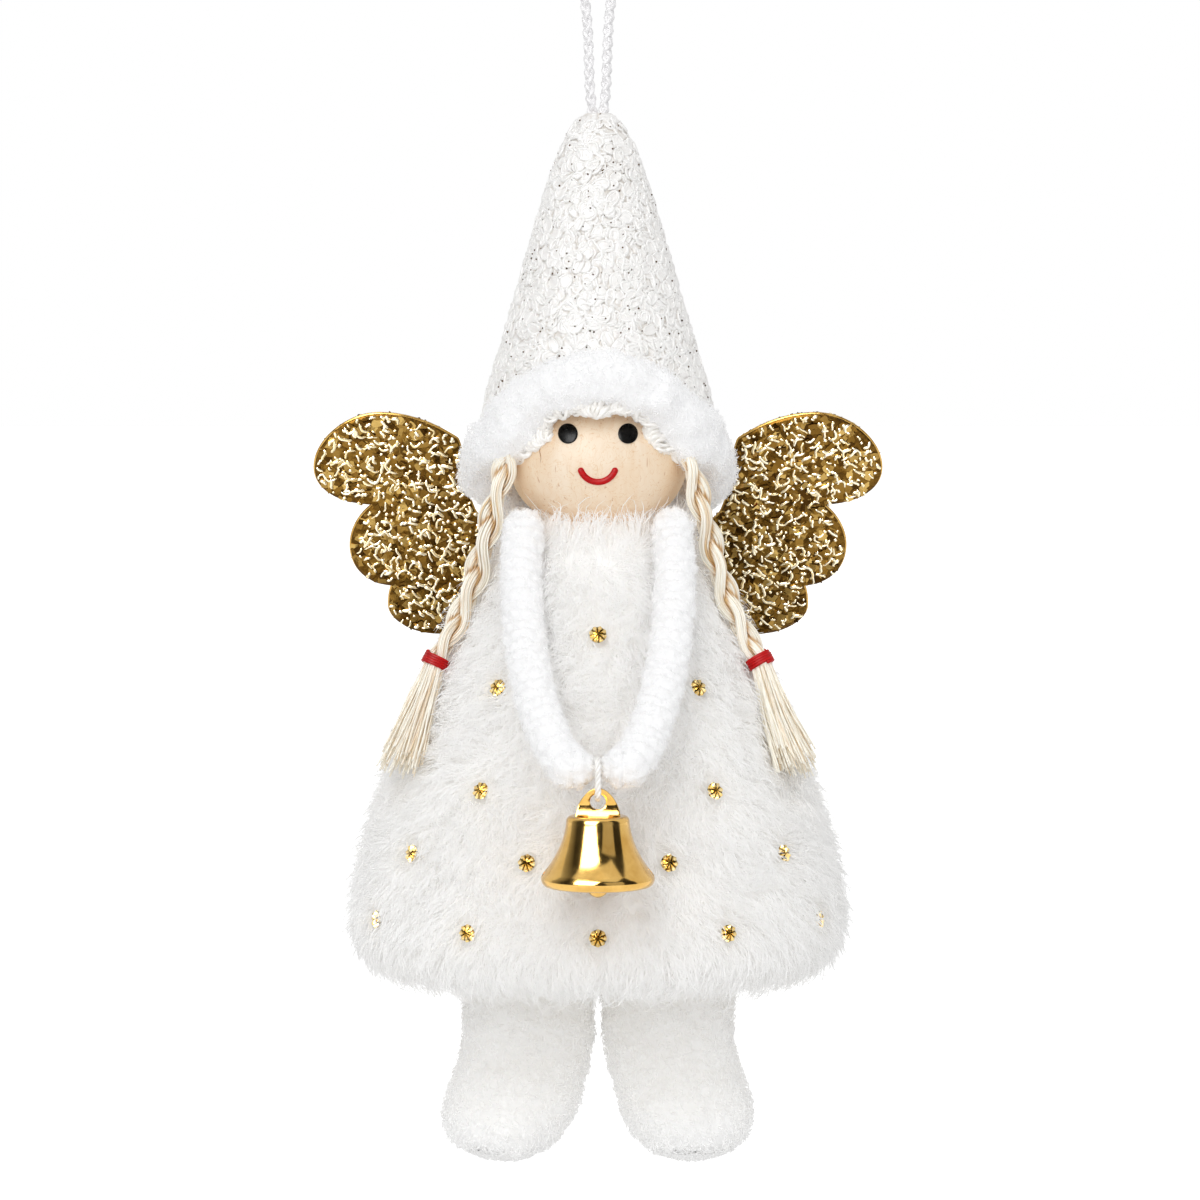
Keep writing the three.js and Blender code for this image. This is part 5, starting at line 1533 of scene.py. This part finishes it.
def leg_rings(side, h, inset):
    """Rings of a boot at heights over its foot, drawn in by an inset where it goes under another piece."""
    heel_h, gather_h, top_d, top_w = 13, 10, 1.6, 10
    h, inset = h[:, None], inset[:, None]
    a = turns(LEG_SIDES)[None]
    t = foot_share(h)
    round_off = np.where(h < heel_h, np.sqrt(np.clip(1 - ((heel_h - h) / heel_h) ** 2, 0, 1)), 1)
    gather = np.clip((h - LEG_H + gather_h) / gather_h, 0, 1)
    edge = np.maximum(h - LEG_H, 0)
    w = (13.2 + 0.2 * t) * round_off
    d = (11.5 + 4.5 * t) * round_off
    half_w = w + (top_w - w) * gather**2 - inset
    top = np.sqrt(np.clip(top_d**2 - edge**2, 0, None))
    half_d = np.where(edge > 0, top, top_d) + (d - top_d) * np.sqrt(1 - gather**2) - inset
    x = side * (HIP_X + FOOT_ASIDE * t)
    y = HIP_Y + 1.8 * (1 - gather**2) - 5 * t
    return np.stack([x + half_w * np.cos(a), y + half_d * np.sin(a), HIP_Z - LEG_H + h + 0 * a], -1)


def boot(name, side):
    h = np.linspace(SEAM_H - TUCK_H, 34, 90)
    h = np.concatenate([h, np.linspace(34.3, LEG_H, 30), [43.6, 44.1, 44.5]])
    bearing = np.angle(np.exp(1j * (turns(LEG_SIDES) - 1.5 * np.pi - 0.4 * side)))
    seam = np.exp(-((bearing / 0.05) ** 2))[None] * smooth((30 - h) / 8)[:, None]
    welt = np.exp(-(((h - SEAM_H) / 0.7) ** 2))[:, None]
    groove = 0.5 * seam + 0.15 * welt
    geo = loft(leg_rings(side, h, TUCK * smooth((SEAM_H - h) / TUCK_H)))
    between = np.maximum(-side * geo.normals()[:, 0], 0) * smooth((geo.points[:, 2] + 32) / 10)
    pile = lumps(geo.points, (0.4, 5.5, 81), (0.28, 2.0, 82), (0.12, 0.9, 83))
    geo.swell(pile - 0.45 - 0.8 * between - np.append(groove.ravel(), [0, 0]))
    nodes = [f"{name}_boot", f"{name}_boot_filling"]
    build(f"{name}_boot_plush", geo, "boot", nodes, f"{name}_leg")
    return geo


def sole(name, side):
    low = 0.8
    h = low + (SEAM_H - low) * np.sin(np.linspace(0, 1, 14) * np.pi / 2)
    h = np.append(h, SEAM_H + np.array([0.3, 0.6, 0.9]))
    geo = loft(leg_rings(side, h, TUCK * smooth((h - SEAM_H) / TUCK_H)))
    geo.swell(lumps(geo.points, (0.2, 2.0, 84), (0.1, 0.9, 85)) - 0.3)
    build(f"{name}_sole_plush", geo, "boot", [f"{name}_sole"], f"{name}_leg")
    return geo


def boot_fuzz(name, side, cover, under):
    """Short pile that leaves the front seam and the gathered top bare."""
    def free(at):
        x, y, z = at.T
        h = z - (HIP_Z - LEG_H)
        seam_x = side * (18.9 + FOOT_ASIDE * foot_share(h))
        return (h < 38.5) & ((np.abs(x - seam_x) > 0.4) | (y > 0) | (h > ANKLE_H))

    upper = fuzz(cover, 9800, 86 + side, 2.3, 0.115, 1.2, free)
    lower = fuzz(under, 1500, 96 + side, 1.0, 0.1, 1.3)
    fibres = merged(upper, lower)
    build(f"{name}_boot_fuzz", fibres, "boot_fibre", body=f"{name}_leg", flat=True)


def hip_thread(name, side):
    """A thread through the boot's top, knotted at both ends over the base disc."""
    half, knot_z = 11.8, 7.9
    ends = [side * (HIP_X - half), side * (HIP_X + half)]
    first = [(ends[0] + side * x, HIP_Y, z) for x, z in HIP_BEND]
    last = [(ends[1] - side * x, HIP_Y, z) for x, z in HIP_BEND[::-1]]
    thread = twist(catmull([*first, (side * HIP_X, HIP_Y, HIP_Z), *last], 160), 2, 0.26, 0.24, 1.7)
    knots = [tubes(trefoil(60, 0.33, 0.35, (x, HIP_Y, knot_z)), 0.3, 8, looped=True, tone=0.5) for x in ends]
    node = f"{name}_hip_thread"
    build(f"{node}_tied", merged(thread, *knots), "thread", [node])


def legs():
    for name, s in SIDES.items():
        cover = boot(name, s)
        under = sole(name, s)
        boot_fuzz(name, s, cover, under)
        hip_thread(name, s)


# cord
def cord():
    """A braided cord, doubled into a loop, and its knot inside the hat."""
    loop_r, top, pitch, carriers, knot_z = 4.5, 206.0, 5.2, 2, 165.6
    rises = [(1.15, -1.35), (1.15, 0.5), (1.55, 4), (2.35, 20.075)]
    strand = [(x, 0, HAT_TIP_Z + z) for x, z in rises] + [(loop_r, 0, top - loop_r)]
    angles = np.linspace(np.pi, 0, 9)[1:-1]
    bend = [(loop_r * math.cos(a), 0, top - loop_r + loop_r * math.sin(a)) for a in angles]
    line = catmull([*((-x, y, z) for x, y, z in strand), *bend, *strand[::-1]], 420)
    length = lengths(line)[-1]
    along = TURN * np.linspace(0, length, len(line)) / pitch
    side = np.tile([0.0, 1.0, 0.0], (len(line), 1))
    across = np.cross(unit(np.gradient(line, axis=0)), side)
    yarns = []
    for hand in (1, -1):
        for k in range(carriers):
            reach = 0.53 + hand * 0.17 * np.cos(carriers * along)
            a = hand * along + TURN * k / carriers + 0.4
            yarns.append(line + reach[:, None] * circle(a, side, across))
    braid = merged(tubes(yarns, 0.43, 10), tubes(line, 0.33, 10))
    piece = build("hanging_cord_braid", braid, "cord", ["hanging_cord"])
    knot = tubes(trefoil(120, 0.72, 1.25, (0, 0, knot_z)), 1.0, 12, looped=True)
    tied = build("cord_knot_tied", knot, "cord", ["cord_knot"])
    path = (line - (0, 0, HANGING_Z)) * MM
    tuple(path[6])


# stage
WORLD_LIGHT = 0.7
FLOOR_GLOW = 0.66
FLOOR_Z, FLOOR_HALF = -0.31, 6.0
CARD_X, CARD_Y, CARD_FOOT, CARD_TOP = 1.9, -1.9, -0.29, 2.6
CAMERA_TARGET = Vector((0.0004, 0, -0.13255))
CAMERA_TILT = math.radians(4)
LAMP_TARGET = Vector((0, 0, -0.12))
LAMPS = [
    ("key_light", (-0.34, -1.24, 0.55), (0.4, 1.4), 5.6, True),
    ("shine_light", (-0.59, -1.2, 0.6), (1.2, 1.5), 58.0, False),
    ("fill_light", (0.74, -1.05, 0.3), (0.9, 1.1), 1.9, True),
    ("top_light", (0.1, -0.1, 0.95), (0.8, 0.8), 0.4, True),
]
CARDS = {
    "front_card": ((-CARD_X, CARD_Y), (CARD_X, CARD_Y)),
    "left_card": ((-CARD_X, CARD_Y), (-CARD_X, 0.6)),
    "right_card": ((CARD_X, CARD_Y), (CARD_X, -0.2)),
}


def stand(name, data, at, way):
    """An object in the scene that looks along a way."""
    made = bpy.data.objects.new(name, data)
    made.location = at
    made.rotation_euler = way.to_track_quat("-Z", "Y").to_euler()
    bpy.context.scene.collection.objects.link(made)
    return made


def camera():
    lens = bpy.data.cameras.new("camera")
    lens.lens, lens.sensor_width = 150, 36
    back = Vector((0, -math.cos(CAMERA_TILT), math.sin(CAMERA_TILT)))
    bpy.context.scene.camera = stand("camera", lens, CAMERA_TARGET + back, -back)


def seen(tree):
    """One for camera, glossy and transmission rays, and nought for the rest."""
    rays = tree.nodes.new("ShaderNodeLightPath")
    value = rays.outputs["Is Camera Ray"]
    for ray in ("Is Glossy Ray", "Is Transmission Ray"):
        larger = tree.nodes.new("ShaderNodeMath")
        larger.operation = "MAXIMUM"
        tree.links.new(value, larger.inputs[0])
        tree.links.new(rays.outputs[ray], larger.inputs[1])
        value = larger.outputs[0]
    return value


def world():
    """White where it is seen, and dimmer as a light."""
    made = bpy.data.worlds.new("studio")
    bpy.context.scene.world = made
    made.use_nodes = True
    tree = made.node_tree
    sky = tree.nodes["Background"]
    sky.inputs["Color"].default_value = (1, 1, 1, 1)
    level = tree.nodes.new("ShaderNodeMapRange")
    level.inputs["To Min"].default_value = WORLD_LIGHT
    level.inputs["To Max"].default_value = 1.0
    tree.links.new(seen(tree), level.inputs["Value"])
    tree.links.new(level.outputs[0], sky.inputs["Strength"])


def lamps():
    for name, at, size, watts, lights_cloth in LAMPS:
        lamp = bpy.data.lights.new(name, "AREA")
        lamp.shape, lamp.size, lamp.size_y, lamp.energy = "RECTANGLE", *size, watts
        stand(name, lamp, at, LAMP_TARGET - Vector(at)).visible_diffuse = lights_cloth


def sheet(name, corners, material):
    mesh = bpy.data.meshes.new(name)
    mesh.from_pydata(corners, [], [tuple(range(len(corners)))])
    mesh.materials.append(material)
    made = bpy.data.objects.new(name, mesh)
    bpy.context.scene.collection.objects.link(made)
    return made


def floor():
    look = Look("pale_floor", Roughness=0.9, Emission_Color=(1, 1, 1, 1))
    look.set(Base_Color=look.grey(look.noise(40, look.place(), 3), (0.3, 0.80), (0.7, 0.82)))
    look.set(Emission_Strength=look.maths("MULTIPLY", seen(look.tree), FLOOR_GLOW))
    corners = [(x * FLOOR_HALF, y * FLOOR_HALF, FLOOR_Z) for x, y in ((-1, -1), (1, -1), (1, 1), (-1, 1))]
    sheet("floor", corners, look.material)


def cards():
    """Dark cards that only the reflections in the gold pieces see."""
    look = Look("dark_card", Roughness=1.0)
    behind = look.add("SeparateXYZ", Vector=look.place()).outputs["Y"]
    depth = look.maths("MULTIPLY", look.maths("ADD", behind, -CARD_Y), 0.4)
    look.set(Base_Color=look.grey(depth, (0.0, 0.02), (0.6, 0.05), (1.0, 0.7)))
    for name, (start, end) in CARDS.items():
        corners = [(*start, CARD_FOOT), (*end, CARD_FOOT), (*end, CARD_TOP), (*start, CARD_TOP)]
        made = sheet(name, corners, look.material)
        for ray in ("camera", "diffuse", "transmission", "volume_scatter", "shadow"):
            setattr(made, f"visible_{ray}", False)


def stage():
    scene = bpy.context.scene
    scene.view_settings.view_transform = "Standard"
    scene.cycles.max_bounces = scene.cycles.diffuse_bounces = 20
    for make in (camera, world, lamps, floor, cards):
        make()


def base_disc():
    """The CAD's own disc stays, and gets a board material."""
    materials = frame["nodes"]["base_disc"].data.materials
    materials.clear()
    materials.append(looks["felt"])


PIECES = [
    stage, cord, dress_cloth, dress_fur, sequins, head, eyes, smile, grain_check, hat, trim, frill, arms,
    hand_stitch, bell_thread, bell_cup, bell_tab, clapper, plaits, wings, legs, base_disc,
]
for make in PIECES:
    make()
